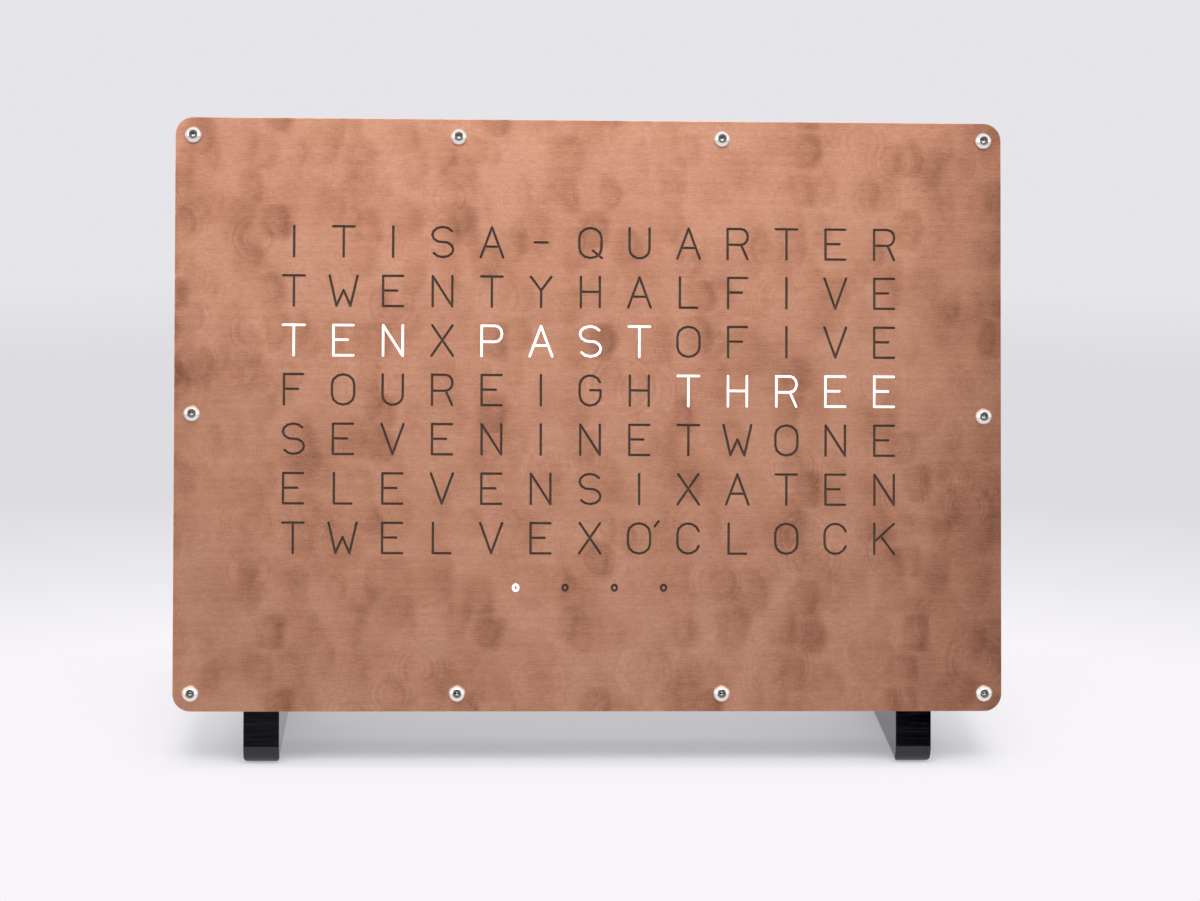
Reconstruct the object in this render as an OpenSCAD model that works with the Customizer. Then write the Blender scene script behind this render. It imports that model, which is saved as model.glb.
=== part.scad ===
// Table clock that tells the time in lit words: a brushed copper face on a smoky sheet,
// a light grid with a strip of LEDs behind each row of letters, a shallow case and two feet.
// Millimetres. Z is up, X runs to the right along the face, and the face looks towards -Y.
// The origin is the middle of the whole clock's footprint, on the table.

/* [Face] */
// Width of the copper face and of the case behind it
face_w = 280; // [272:1:320]
// Height of the copper face and of the case behind it
face_h = 200; // [194:1:240]
// Thickness of the copper sheet
face_t = 1; // [0.6:0.1:2]
// Radius of the face's four corners
corner_r = 6; // [4:0.5:9]
// Thickness of the smoky diffuser sheet bonded behind the copper
diffuser_t = 3; // [2:0.5:5]
// Angle by which the face leans back from upright
face_lean = 14; // [8:1:20]
// Height of the face's lower edge above the table
face_clearance = 19.4; // [18:0.2:30]

/* [Letter grid] */
// Letters in one row
columns = 13; // [9:2:13]
// Single lights in the minute row below the letters
minute_leds = 4; // [2:1:6]
// LEDs on one metre of strip, which sets the distance between letters
leds_per_metre = 60; // [60:1:72]
// Thickness of the walls between two cells
grid_wall = 1.6; // [1:0.1:2.4]
// Depth of the light grid, from the diffuser sheet to the LED carrier
grid_depth = 10; // [8:1:16]

/* [LED strips] */
// Width of a flexible strip
strip_w = 10; // [8:0.5:12]
// Thickness of a flexible strip without its LEDs
strip_t = 0.4; // [0.2:0.05:0.6]
// Length of bare strip past the grid, for its solder pads
strip_tail = 3; // [2:0.5:5]
// Side of a square LED
led_size = 5; // [4.2:0.1:5.4]
// Height of an LED above its strip
led_h = 1.6; // [1.2:0.1:2.5]
// Radius of the clear window in an LED
led_window_r = 1.9; // [1.2:0.1:2]
// Radius of an insulated wire
wire_r = 0.6; // [0.4:0.05:0.7]

/* [Case] */
// Thickness of the case frame's walls
case_wall = 4; // [3:0.5:5]
// Thickness of the LED carrier board
carrier_t = 3; // [2:0.5:4]
// Room left between the carrier board and the frame's bosses
carrier_gap = 4; // [2:0.5:5]
// Room for the electronics behind the carrier
rear_room = 15; // [14.5:0.5:24]
// Thickness of the back plate
back_t = 3; // [2:0.5:5]
// Distance of the outer pillars from the middle
pillar_x = 90; // [80:1:98]
// Distance of the pillars from the light grid's upper and lower edges
pillar_margin = 5.4; // [5:0.2:8]
// Distance across the flats of a pillar
pillar_af = 5.5; // [5:0.1:7]
// Width of a cooling slot in the back plate
vent_w = 2.5; // [1.5:0.25:3.5]
// Length of a cooling slot
vent_l = 20; // [12:1:24]
// Cooling slots in the back plate
vent_count = 12; // [4:2:16]
// Distance between two cooling slots
vent_pitch = 8; // [5:0.5:9]

/* [Feet] */
// Width of one foot, seen from the front
foot_w = 12; // [10:0.5:16]
// Distance of a foot's middle from the clock's middle
foot_offset = 110.5; // [104:0.5:118]
// Length of a foot along the table
foot_length = 104; // [92:1:130]
// Height of the runner that lies on the table
runner_h = 12; // [10:0.5:16]
// Depth of the upright that stands against the back plate
upright_t = 13; // [10:0.5:18]
// Height of the upright, measured up the back of the case
upright_h = 74; // [68:1:100]
// Radius of a foot's front lower corner
nose_r = 6; // [3:0.5:7]
// Radius along the two long lower edges
sole_r = 2.5; // [1:0.25:3.5]
// Radius of the hollow curve between runner and upright
crook_r = 24; // [10:1:28]

/* [Fasteners] */
// Distance of the face and back screws from the edges
screw_inset = 6; // [5.5:0.25:7]
// Radius of the thread of the case's screws
case_screw_r = 1.5; // [1.25:0.25:2]
// Radius of the button heads on the face and the back
case_head_r = 2.85; // [2.6:0.05:3.6]
// Height of those button heads
case_head_h = 1.65; // [1.4:0.05:2]
// Length of a face screw under its head
face_screw_l = 12; // [10:1:16]
// Length of a back screw under its head
back_screw_l = 10; // [8:1:12]
// Length that a pillar screw reaches into its pillar
pillar_grip = 6; // [4:0.5:7]
// Radius of a brass insert
insert_r = 2.3; // [2.25:0.05:3]
// Length of a brass insert
insert_l = 6; // [4:0.5:8]
// Radius of the thread of a foot screw
foot_screw_r = 2; // [1.5:0.25:2.5]
// Radius of a foot screw's head
foot_head_r = 3.5; // [3.2:0.1:4.4]
// Height of a foot screw's head
foot_head_h = 2.2; // [2:0.1:2.6]
// Depth of the recess for a foot screw's head
foot_recess = 3; // [2.6:0.1:5]
// Thickness of a foot nut
foot_nut_t = 3.2; // [2:0.1:4]
// Height of the lower foot screw, measured up the back of the case
foot_screw_low = 24; // [20:1:30]
// Distance of the upper foot screw from the upright's top
foot_screw_inset = 16; // [12:1:20]
// Space between a screw and the hole that it passes through
screw_gap = 0.2; // [0.1:0.05:0.4]

/* [Controller] */
// Width of the controller board
board_w = 84; // [78:1:110]
// Height of the controller board
board_h = 56; // [52:1:70]
// Thickness of the controller board
board_t = 1.6; // [1:0.2:2]
// Length of the clips that hold the board off the back plate
board_gap = 5; // [4:0.2:5.6]
// Radius of the coin cell
cell_r = 10; // [8:0.5:11]
// Thickness of the coin cell
cell_t = 3.2; // [1.6:0.1:4]

/* [Buttons and socket] */
// Height of the buttons and the power socket above the case's lower edge
controls_h = 25; // [22:0.5:28]
// Distance of the power socket from the middle
socket_x = 40; // [30:1:60]
// Distance of the nearer button from the middle
button_x = 30; // [24:1:40]
// Distance between the two buttons
button_gap = 22; // [18:1:26]
// Radius of a button's plunger
plunger_r = 2.5; // [2:0.1:2.8]
// Radial running space round a plunger
plunger_gap = 0.05; // [0.03:0.01:0.1]
// Travel of a button
button_travel = 1.5; // [0.8:0.1:2]
// Length of plunger that stands out of its threaded neck
plunger_out = 4; // [2.5:0.5:6]
// Radius of a button's threaded neck
neck_r = 3.5; // [3.3:0.1:4]
// Length of a button's threaded neck outside the back plate
neck_l = 5; // [4:0.5:7]
// Radius of the hole in the power socket
socket_bore_r = 2.85; // [2.6:0.05:3]
// Radius of the power socket's centre pin
socket_pin_r = 1; // [0.6:0.05:1.2]
// Radius of the power socket's threaded barrel
socket_barrel_r = 4; // [3.8:0.1:5]

/* [Hidden] */
$fn = 64;
rows = 7;
strip_names = [for (r = [1:rows]) str("led_strip_", r)];

cut = 1;                           // how far a cutter runs past the face that it opens
slack = 0.2;                       // space round a loosely fitting piece
thread_gap = 0.05;                 // space between a screw and the thread that holds it
metre = 1000;
pitch = metre / leds_per_metre;

// Depths behind the face's front, measured square to it
diffuser_y = face_t;
frame_y = diffuser_y + diffuser_t;
carrier_y = frame_y + grid_depth;
room_y = carrier_y + carrier_t;
back_y = room_y + rear_room;
case_d = back_y + back_t;

// The letters and the minute row below them are centred on the face together
letters_top = face_h / 2 + (rows + 1) * pitch / 2;
letters_low = letters_top - rows * pitch;
function row_z(row) = letters_top - (row + 0.5) * pitch;
function column_x(column) = (column - (columns - 1) / 2) * pitch;
function minute_x(led) = (led - (minute_leds - 1) / 2) * pitch;
minute_z = row_z(rows);
grid_w = columns * pitch + grid_wall;
minute_grid_w = minute_leds * pitch + grid_wall;
grid_low = minute_z - pitch / 2 - grid_wall / 2;
grid_top = letters_top + grid_wall / 2;
strip_l = grid_w + 2 * strip_tail;
minute_strip_l = minute_grid_w + 2 * strip_tail;
strip_face_y = carrier_y - strip_t;
led_window_d = 0.3;

// Screws round the edge: two rows of four, and one halfway up each side
edge_x = face_w / 2 - screw_inset;
edge_screws = concat(
    [for (x = [-1, -1 / 3, 1 / 3, 1], z = [screw_inset, face_h - screw_inset]) [x * edge_x, z]],
    [for (x = [-1, 1]) [x * edge_x, face_h / 2]]);
boss_r = screw_inset;              // so that a corner's boss fills the corner
inner_r = max(corner_r - case_wall, 1);

// The carrier board and its six pillars
carrier_edge = 6;                  // board past the pillars, above and below
carrier_w = face_w - 2 * (screw_inset + boss_r + carrier_gap);
carrier_low = grid_low - pillar_margin - carrier_edge;
carrier_top = grid_top + pillar_margin + carrier_edge;
pillars = [for (x = [-pillar_x, 0, pillar_x], z = [grid_low - pillar_margin, grid_top + pillar_margin])
    [x, z]];

// Feet. These points have the case's lower front edge at Y 0, as everything has until leaned().
function lean_point(y, z) = [y * cos(face_lean) + z * sin(face_lean),
                             face_clearance - y * sin(face_lean) + z * cos(face_lean)];
function height_at(y, level) = (level - face_clearance + y * sin(face_lean)) / cos(face_lean);
foot_y = frame_y;                  // the nose starts flush with the frame, behind the diffuser
upright_y = case_d + upright_t;
round_past = 0.05;                 // how far round corners run past the planes that trim them
nose_z = height_at(foot_y + nose_r, nose_r);
nose = lean_point(foot_y + nose_r - round_past, nose_z - round_past);
heel_r = (runner_h + round_past) / 2;
runner_l = foot_length - nose_r - heel_r;
foot_back = nose[0] + runner_l + heel_r;
upright_top_r = 8;
upright_low = height_at(upright_y, runner_h / 2);
crook_z = height_at(upright_y + crook_r, runner_h + crook_r);
crook = lean_point(upright_y + crook_r, crook_z);
foot_screw_heights = [foot_screw_low, upright_h - foot_screw_inset];
foot_screw_l = upright_t - foot_recess + back_t + foot_nut_t;
foot_nut_af = 3.5 * foot_screw_r;

// Button heads: a domed head with a flat top and a hexagon socket, as shares of the head's size
head_flat = 0.53;
hex_af = 0.7;
hex_depth = 0.63;
drill_r = 0.33;
drill_depth = 0.18;

// The footprint in Y runs from the lowest face screws' heads to the heels
head_reach = (screw_inset - case_head_r * head_flat) * sin(face_lean) - case_head_h * cos(face_lean);
footprint_y = (min(head_reach, 0) + foot_back) / 2;

// Controller board and what stands on it. Places are measured from the board's middle and edges.
board_z = (letters_low + letters_top) / 2 - 6;
board_y = back_y - board_gap - board_t;
board_corner_r = 3;
clip_r = 1.5;
clip_post_r = 2.5;
clip_pad_r = 4;
clip_pad_t = 1.2;
clip_barb_r = 0.3;
clip_barb_l = 0.9;
clip_tip_l = 1.8;
clip_split = 0.7;
clips = [for (x = [-1, 1], z = [-1, 1])
    [x * (board_w / 2 - clip_pad_r), board_z + z * (board_h / 2 - clip_pad_r)]];
module_size = [44, 18, 1.2];
module_lift = 2.5;                 // height of the pin strips under the controller module
pin_strip_w = 2.4;
module_x = module_size[0] / 2 - board_w / 2 + 2.5;
module_z = board_z + 10;
module_y = board_y - module_lift - module_size[2];
processor = [7, 7, 1];
crystal = [5, 3, 0.8];
data_socket = [6, 8, 2.8];
clock_body = [10, 7.4, 2];
clock_lift = 0.2;
clock_z = board_z - 11;
clock_leg = [0.45, 1.6, 1];
clock_leg_pitch = 1.27;
cell_x = board_w / 2 - cell_r - 9;
cell_z = board_z + 2;
cell_floor = 1;
cell_rim = 1.5;
cell_step = 1.2;                   // width of the step round the cell's smaller pole
capacitor_r = 3.1;
capacitor_l = 11;
capacitor_x = cell_x - cell_r - 7.5;
capacitor_z = board_z - 13;
board_low = board_z - board_h / 2;
lead_socket = [9, 8, 5.6];
lead_socket_wall = 0.8;
lead_mouth = [lead_socket[0] - 2 * lead_socket_wall, lead_socket[2] - 2 * lead_socket_wall];
lead_inset = 18;                   // how far the outer sockets stand in from the board's sides
lead_sockets_x = [lead_inset - board_w / 2, 0, board_w / 2 - lead_inset];
lead_y = board_y - lead_socket[2] / 2;
plug_out = 3;
plug_z = board_low - plug_out;

// Buttons. Their axis points out of the back, and heights are from the back plate's inner face.
button_body_r = 5;
button_body_l = 9.5;
button_lug_l = 4;
button_lug_x = 2.5;
button_shoulder = 2;               // wall between the neck and the room behind it
button_nut_t = 2;
flange_r = plunger_r + 0.8;
flange_t = 1.4;
plunger_room = flange_t + button_travel + 1.5;
plunger_round = 0.6;
neck_top = back_t + neck_l;
hour_x = -button_x;
minute_button_x = -button_x - button_gap;

// Power socket, on the same kind of axis
socket_rim = 1.5;
socket_barrel_l = 9;
socket_bore_l = 9;
socket_pin_short = 1;              // how far the pin ends below the mouth
socket_lug_l = 3.5;
socket_lug_x = 2;
socket_nut_t = 2;
lug = [1.8, 0.5];
nut_wall = 1.5;                    // metal round the thread of a socket's or a button's nut

// Wires are tubes along smooth curves, whose points are chosen by hand
wire_sides = 8;
wire_steps = 4;
wire_gap = 2 * wire_r + 0.6;
pad_gap = 3;                       // distance between two solder pads on a strip
pad_l = 1.5;
link_bend = 1.5;
lead_reach = 20;                   // how far a lead runs on from its end before it turns
lead_hole_x = 7 - carrier_w / 2;
lead_hole_z = row_z(0);
lead_hole_r = 4.2;
grommet_lip = 1.2;
grommet_wall = 0.6;
function between(a, b, c, d, t) = 0.5 * (2 * b + (c - a) * t + (2 * a - 5 * b + 4 * c - d) * t * t
                                         + (3 * b - 3 * c + d - a) * t * t * t);
function smooth(p) = let (n = len(p)) concat(
    [for (i = [0:n - 2], s = [0:wire_steps - 1])
        between(p[max(i - 1, 0)], p[i], p[i + 1], p[min(i + 2, n - 1)], s / wire_steps)],
    [p[n - 1]]);
function unit(v) = v / norm(v);
function headings(p, line) = [for (n = len(line) - 1, i = [0:n])
    unit(i == 0 ? p[1] - p[0] : i == n ? p[len(p) - 1] - p[len(p) - 2] : line[i + 1] - line[i - 1])];
function carried(t, side, i = 0) = i == len(t) ? [] :
    let (s = unit(side - (side * t[i]) * t[i])) concat([s], carried(t, s, i + 1));
function tube_faces(rings) = concat(
    [[for (a = [0:wire_sides - 1]) a]],
    [for (i = [0:rings - 2], a = [0:wire_sides - 1])
        let (b = (a + 1) % wire_sides, low = i * wire_sides, high = low + wire_sides)
        [low + a, high + a, high + b, low + b]],
    [[for (a = [wire_sides - 1:-1:0]) (rings - 1) * wire_sides + a]]);

// ---- Shapes that repeat ------------------------------------------------------------------

// Leans and places what is drawn with the face upright at Y 0 and its lower edge at Z 0
module leaned() {
    translate([0, -footprint_y, face_clearance]) rotate([-face_lean, 0, 0]) children();
}

// A rectangle with four round corners, centred in X and standing on Z 0
module panel_outline(w, h, r) {
    translate([r - w / 2, 0]) square([w - 2 * r, h]);
    translate([-w / 2, r]) square([w, h - 2 * r]);
    for (x = [r - w / 2, w / 2 - r], z = [r, h - r]) translate([x, z]) circle(r);
}

// A shape drawn in X and Z, from depth y to depth y + t behind the face
module slab(y, t) {
    translate([0, y + t, 0]) rotate([90, 0, 0]) linear_extrude(t) children();
}

// Turns what is drawn along Z to point out of the back, or out of the face
module rearward(x, y, z) {
    translate([x, y, z]) rotate([-90, 0, 0]) children();
}

module forward(x, y, z) {
    translate([x, y, z]) rotate([90, 0, 0]) children();
}

module hex_prism(across_flats, h) {
    cylinder(h = h, r = across_flats / 2 / cos(30), $fn = 6);
}

module hex_nut(across_flats, h, thread_r) {
    difference() {
        hex_prism(across_flats, h);
        translate([0, 0, -cut]) cylinder(h = h + 2 * cut, r = thread_r);
    }
}

// Its head stands on Z 0 and its shank hangs below
module button_screw(r, length, head_r, head_h) {
    flat_r = head_r * head_flat;
    drop = (head_r * head_r - flat_r * flat_r - head_h * head_h) / (2 * head_h);
    floor = head_h * (1 - hex_depth);
    difference() {
        union() {
            intersection() {
                cylinder(h = head_h, r = head_r);
                translate([0, 0, -drop]) sphere(norm([head_r, drop]));
            }
            translate([0, 0, -length]) cylinder(h = length + floor / 2, r = r - thread_gap);
        }
        translate([0, 0, floor]) hex_prism(head_r * hex_af, head_h);
        translate([0, 0, floor - head_h * drill_depth])
            cylinder(h = head_h * drill_depth + slack, r1 = thread_gap, r2 = head_r * drill_r);
    }
}

// A brass insert with two knurled bands, its open end on Z 0 and its body below
module threaded_insert() {
    band = insert_l * 0.4;
    difference() {
        union() {
            translate([0, 0, -insert_l]) cylinder(h = insert_l, r = insert_r - slack);
            for (z = [-band, -insert_l]) translate([0, 0, z]) cylinder(h = band, r = insert_r);
        }
        translate([0, 0, -insert_l - cut]) cylinder(h = insert_l + 2 * cut, r = case_screw_r);
    }
}

// Wires side by side along one route. They start start_gap apart, stepped towards side, and close
// up to wire_gap by the route's second point.
module wires(points, count, side, start_gap = wire_gap) {
    line = smooth(points);
    t = headings(points, line);
    s = carried(t, side);
    for (k = [0:count - 1]) {
        rings = [for (i = [0:len(line) - 1], a = [0:wire_sides - 1])
            let (gap = wire_gap + (start_gap - wire_gap) * max(0, 1 - i / wire_steps),
                 turn = 360 * a / wire_sides)
            line[i] + ((k - (count - 1) / 2) * gap + wire_r * cos(turn)) * s[i]
            + wire_r * sin(turn) * cross(t[i], s[i])];
        polyhedron(rings, tube_faces(len(line)), convexity = 4);
    }
}

// ---- Front: face, diffuser sheet, light grid -----------------------------------------------

// A sheet as large as the face, with a hole for each screw round the edge
module edge_drilled(y, t) {
    difference() {
        slab(y, t) panel_outline(face_w, face_h, corner_r);
        for (p = edge_screws) rearward(p[0], y - cut, p[1])
            cylinder(h = t + 2 * cut, r = case_screw_r + screw_gap);
    }
}

module face_plate() {
    color([0.78, 0.53, 0.42]) leaned() edge_drilled(0, face_t);
}

module diffuser_sheet() {
    color([0.2, 0.19, 0.17]) leaned() edge_drilled(diffuser_y, diffuser_t);
}

// A crate of square cells, one to a letter, with the minute row's cells hanging below it.
// A shallow channel along each row lets that row's strip pass under the walls.
module light_grid() {
    cell = pitch - grid_wall;
    color([0.13, 0.13, 0.14]) leaned() difference() {
        slab(frame_y, grid_depth) difference() {
            union() {
                translate([-grid_w / 2, letters_low - grid_wall / 2])
                    square([grid_w, rows * pitch + grid_wall]);
                translate([-minute_grid_w / 2, grid_low]) square([minute_grid_w, pitch + grid_wall]);
            }
            for (c = [0:columns - 1], r = [0:rows - 1])
                translate([column_x(c), row_z(r)]) square(cell, center = true);
            for (m = [0:minute_leds - 1]) translate([minute_x(m), minute_z]) square(cell, center = true);
        }
        for (r = [0:rows - 1]) strip_channel(row_z(r), strip_l);
        strip_channel(minute_z, minute_strip_l);
    }
}

module strip_channel(z, l) {
    translate([-l / 2, strip_face_y - slack, z - strip_w / 2 - slack])
        cube([l, strip_t + slack + cut, strip_w + 2 * slack]);
}

// ---- LEDs ---------------------------------------------------------------------------------

// A flexible strip that lies on the carrier, with an LED soldered on at each of leds_x
module strip(z, l, leds_x) {
    color([0.95, 0.95, 0.93]) leaned() difference() {
        union() {
            translate([-l / 2, strip_face_y, z - strip_w / 2]) cube([l, strip_t, strip_w]);
            for (x = leds_x) translate([x - led_size / 2, strip_face_y - led_h, z - led_size / 2])
                cube([led_size, led_h, led_size]);
        }
        for (x = leds_x) forward(x, strip_face_y - led_h + led_window_d, z)
            cylinder(h = led_window_d + cut, r = led_window_r);
    }
}

module led_strip(row) {
    strip(row_z(row), strip_l, [for (c = [0:columns - 1]) column_x(c)]);
}

module minute_led_strip() {
    strip(minute_z, minute_strip_l, [for (m = [0:minute_leds - 1]) minute_x(m)]);
}

module led_carrier() {
    color([0.16, 0.16, 0.17]) leaned() difference() {
        slab(carrier_y, carrier_t) translate([0, carrier_low])
            panel_outline(carrier_w, carrier_top - carrier_low, inner_r);
        for (p = pillars) rearward(p[0], carrier_y - cut, p[1])
            cylinder(h = carrier_t + 2 * cut, r = case_screw_r + screw_gap);
        rearward(lead_hole_x, carrier_y - cut, lead_hole_z)
            cylinder(h = carrier_t + 2 * cut, r = lead_hole_r);
    }
}

// Three wires join each strip to the next one down, at the right and the left by turns
module strip_links() {
    color([0.75, 0.12, 0.1]) leaned() for (r = [0:rows - 2], k = [0, 1, 2])
        translate([0, strip_face_y - wire_r, row_z(r + 0.5)]) rotate([0, 0, 180 * (r % 2)])
            link(pitch / 2 + (k - 1) * pad_gap, strip_l / 2 + link_bend + k * wire_gap);
}

// One of these wires: out from a pad at height h, down along x, and back in to a pad at -h
module link(h, x) {
    start = strip_l / 2 - pad_l;
    straight = h - link_bend;
    translate([x, 0, -straight]) cylinder(h = 2 * straight, r = wire_r);
    for (turn = [0, 180]) rotate([turn, 0, 0]) {
        translate([start, 0, h]) rotate([0, 90, 0]) cylinder(h = x - link_bend - start, r = wire_r);
        translate([x - link_bend, 0, straight]) rotate([90, 0, 0]) rotate_extrude(angle = 90)
            translate([link_bend, 0]) circle(wire_r);
    }
}

// From the last letter row to the minute row
module minute_lead() {
    y = strip_face_y - wire_r;
    color([0.75, 0.12, 0.1]) leaned()
        wires([[strip_l / 2 - 1, y, row_z(rows - 1)],
               [strip_l / 2 + 5, y, row_z(rows - 1) - 4],
               [strip_l / 2 - 4, y, minute_z + 2],
               [minute_strip_l / 2 + lead_reach, y, minute_z],
               [minute_strip_l / 2 - 1, y, minute_z]], 3, [0, 0, 1]);
}

// From the start of the first row, through the carrier, to the board
module led_lead() {
    y = strip_face_y - wire_r;
    color([0.15, 0.15, 0.16]) leaned()
        wires([[1 - strip_l / 2, y, row_z(0)],
               [-strip_l / 2 - 1, y, row_z(0)],
               [lead_hole_x, carrier_y, lead_hole_z],
               [lead_hole_x, room_y + 1, lead_hole_z],
               [lead_hole_x + 8, room_y + 3, lead_hole_z],
               [lead_hole_x + lead_reach, room_y + 3, lead_hole_z - lead_reach],
               [-board_w / 2 - 12, room_y + 1.6, plug_z - 4],
               [lead_sockets_x[1] - 10, room_y + 1.6, plug_z - 12],
               [lead_sockets_x[1], lead_y, plug_z - 5],
               [lead_sockets_x[1], lead_y, plug_z]], 3, [0, 0, 1]);
}

module lead_grommet() {
    color([0.1, 0.1, 0.1]) leaned() rearward(lead_hole_x, carrier_y, lead_hole_z) difference() {
        union() {
            cylinder(h = carrier_t, r = lead_hole_r);
            translate([0, 0, carrier_t]) cylinder(h = grommet_lip, r = lead_hole_r + grommet_lip);
        }
        translate([0, 0, -cut])
            cylinder(h = carrier_t + grommet_lip + 2 * cut, r = lead_hole_r - grommet_wall);
    }
}

// ---- Case ---------------------------------------------------------------------------------

// Four walls and a full-depth boss at each screw, with an insert's seat in each of its ends
module case_frame() {
    face_hole = max(face_screw_l - frame_y, insert_l) + cut;
    back_hole = max(back_screw_l - back_t, insert_l) + cut;
    color([0.09, 0.09, 0.1]) leaned() difference() {
        slab(frame_y, back_y - frame_y) {
            difference() {
                panel_outline(face_w, face_h, corner_r);
                translate([0, case_wall])
                    panel_outline(face_w - 2 * case_wall, face_h - 2 * case_wall, inner_r);
            }
            intersection() {
                panel_outline(face_w, face_h, corner_r);
                for (p = edge_screws) translate(p) circle(boss_r);
            }
        }
        for (p = edge_screws) {
            rearward(p[0], frame_y - cut, p[1]) {
                cylinder(h = cut + insert_l, r = insert_r);
                cylinder(h = cut + face_hole, r = case_screw_r + screw_gap);
            }
            forward(p[0], back_y + cut, p[1]) {
                cylinder(h = cut + insert_l, r = insert_r);
                cylinder(h = cut + back_hole, r = case_screw_r + screw_gap);
            }
        }
    }
}

module slot(w, l) {
    square([w, l - w], center = true);
    for (z = [-1, 1]) translate([0, z * (l - w) / 2]) circle(w / 2);
}

module back_plate() {
    color([0.1, 0.1, 0.11]) leaned() difference() {
        edge_drilled(back_y, back_t);
        for (i = [0:vent_count - 1]) slab(back_y - cut, back_t + 2 * cut)
            translate([(i - (vent_count - 1) / 2) * vent_pitch, grid_top - vent_l / 2])
                slot(vent_w, vent_l);
        for (p = pillars) back_hole(p[0], p[1], case_screw_r);
        for (x = [-1, 1], z = foot_screw_heights) back_hole(x * foot_offset, z, foot_screw_r);
        for (x = [hour_x, minute_button_x]) back_hole(x, controls_h, neck_r);
        back_hole(socket_x, controls_h, socket_barrel_r);
    }
}

module back_hole(x, z, r) {
    rearward(x, back_y - cut, z) cylinder(h = back_t + 2 * cut, r = r + screw_gap);
}

// ---- Fasteners ----------------------------------------------------------------------------

module face_screws() {
    color([0.8, 0.8, 0.8]) leaned() for (p = edge_screws)
        forward(p[0], 0, p[1]) button_screw(case_screw_r, face_screw_l, case_head_r, case_head_h);
}

module face_inserts() {
    color([0.8, 0.66, 0.35]) leaned() for (p = edge_screws)
        forward(p[0], frame_y, p[1]) threaded_insert();
}

module back_screws() {
    color([0.8, 0.8, 0.8]) leaned() for (p = edge_screws)
        rearward(p[0], case_d, p[1]) button_screw(case_screw_r, back_screw_l, case_head_r, case_head_h);
}

module back_inserts() {
    color([0.8, 0.66, 0.35]) leaned() for (p = edge_screws)
        rearward(p[0], back_y, p[1]) threaded_insert();
}

module carrier_pillars() {
    color([0.83, 0.7, 0.4]) leaned() for (p = pillars)
        rearward(p[0], room_y, p[1]) hex_nut(pillar_af, rear_room, case_screw_r);
}

module carrier_screws() {
    color([0.8, 0.8, 0.8]) leaned() for (p = pillars) forward(p[0], carrier_y, p[1])
        button_screw(case_screw_r, carrier_t + pillar_grip, case_head_r, case_head_h);
}

module pillar_screws() {
    color([0.8, 0.8, 0.8]) leaned() for (p = pillars) rearward(p[0], case_d, p[1])
        button_screw(case_screw_r, back_t + pillar_grip, case_head_r, case_head_h);
}

module foot_screws() {
    color([0.8, 0.8, 0.8]) leaned() for (x = [-1, 1], z = foot_screw_heights)
        rearward(x * foot_offset, upright_y - foot_recess, z)
            button_screw(foot_screw_r, foot_screw_l, foot_head_r, foot_head_h);
}

module foot_nuts() {
    color([0.8, 0.8, 0.8]) leaned() for (x = [-1, 1], z = foot_screw_heights)
        forward(x * foot_offset, back_y, z) hex_nut(foot_nut_af, foot_nut_t, foot_screw_r);
}

// ---- Feet ---------------------------------------------------------------------------------

// Runs an outline of the side view, drawn in Y and Z, through more than a foot's width
module across() {
    rotate([90, 0, 90]) linear_extrude(foot_w + 2 * cut) children();
}

// A nose below the face, a seat that the case stands in, a runner on the table and an upright
// behind the case, with a hollow curve between the last two
module foot_side_view() {
    difference() {
        union() {
            across() translate(nose) circle(nose_r);
            across() translate([nose[0], -round_past]) square([runner_l, runner_h + round_past]);
            across() translate([nose[0] + runner_l, runner_h - heel_r]) circle(heel_r);
            across() leaned_outline() translate([foot_y, nose_z]) square([case_d - foot_y, cut - nose_z]);
            across() leaned_outline() translate([case_d - cut, upright_low]) upright_outline();
            across() difference() {
                polygon([lean_point(case_d, upright_low), lean_point(case_d, crook_z), crook,
                         [crook[0], runner_h / 2]]);
                translate(crook) circle(crook_r + round_past);
            }
        }
        across() leaned_outline() translate([foot_y - 2 * nose_r, -face_h]) square([2 * nose_r, 2 * face_h]);
        across() leaned_outline() translate([foot_y - cut, 0]) square([case_d - foot_y + cut, face_h]);
    }
}

// Leans an outline drawn with Y to its right and Z up
module leaned_outline() {
    translate([0, face_clearance]) rotate(-face_lean) children();
}

// The upright, with its upper rear corner rounded
module upright_outline() {
    w = upright_t + cut;
    h = upright_h - upright_low;
    square([w, h - upright_top_r]);
    square([w - upright_top_r, h]);
    translate([w - upright_top_r, h - upright_top_r]) circle(upright_top_r);
}

// The front view: a foot's width with its two lower edges rounded
module foot_outline(w, h, r) {
    translate([r - w / 2, 0]) square([w - 2 * r, h]);
    translate([-w / 2, r]) square([w, h - r]);
    for (x = [r - w / 2, w / 2 - r]) translate([x, r]) circle(r);
}

// The side view and the front view, each run through the other. The screws' recesses run out
// through the hollow curve.
module foot(side) {
    color([0.05, 0.05, 0.06]) difference() {
        intersection() {
            translate([side * foot_offset - foot_w / 2 - cut, -footprint_y, 0]) foot_side_view();
            translate([side * foot_offset, foot_back, 0])
                rotate([90, 0, 0]) linear_extrude(2 * foot_back) foot_outline(foot_w, face_h, sole_r);
        }
        leaned() for (z = foot_screw_heights) {
            rearward(side * foot_offset, case_d - cut, z)
                cylinder(h = upright_t + 2 * cut, r = foot_screw_r + screw_gap);
            rearward(side * foot_offset, upright_y - foot_recess, z)
                cylinder(h = foot_recess + crook_r, r = foot_head_r + screw_gap);
        }
    }
}

// ---- Controller ---------------------------------------------------------------------------

// A block on the board's front: its middle, its size in X, Z and height, and how far it is lifted
module on_board(x, z, size, lift = 0) {
    slab(board_y - lift - size[2], size[2]) translate([x, z]) square([size[0], size[1]], center = true);
}

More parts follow.
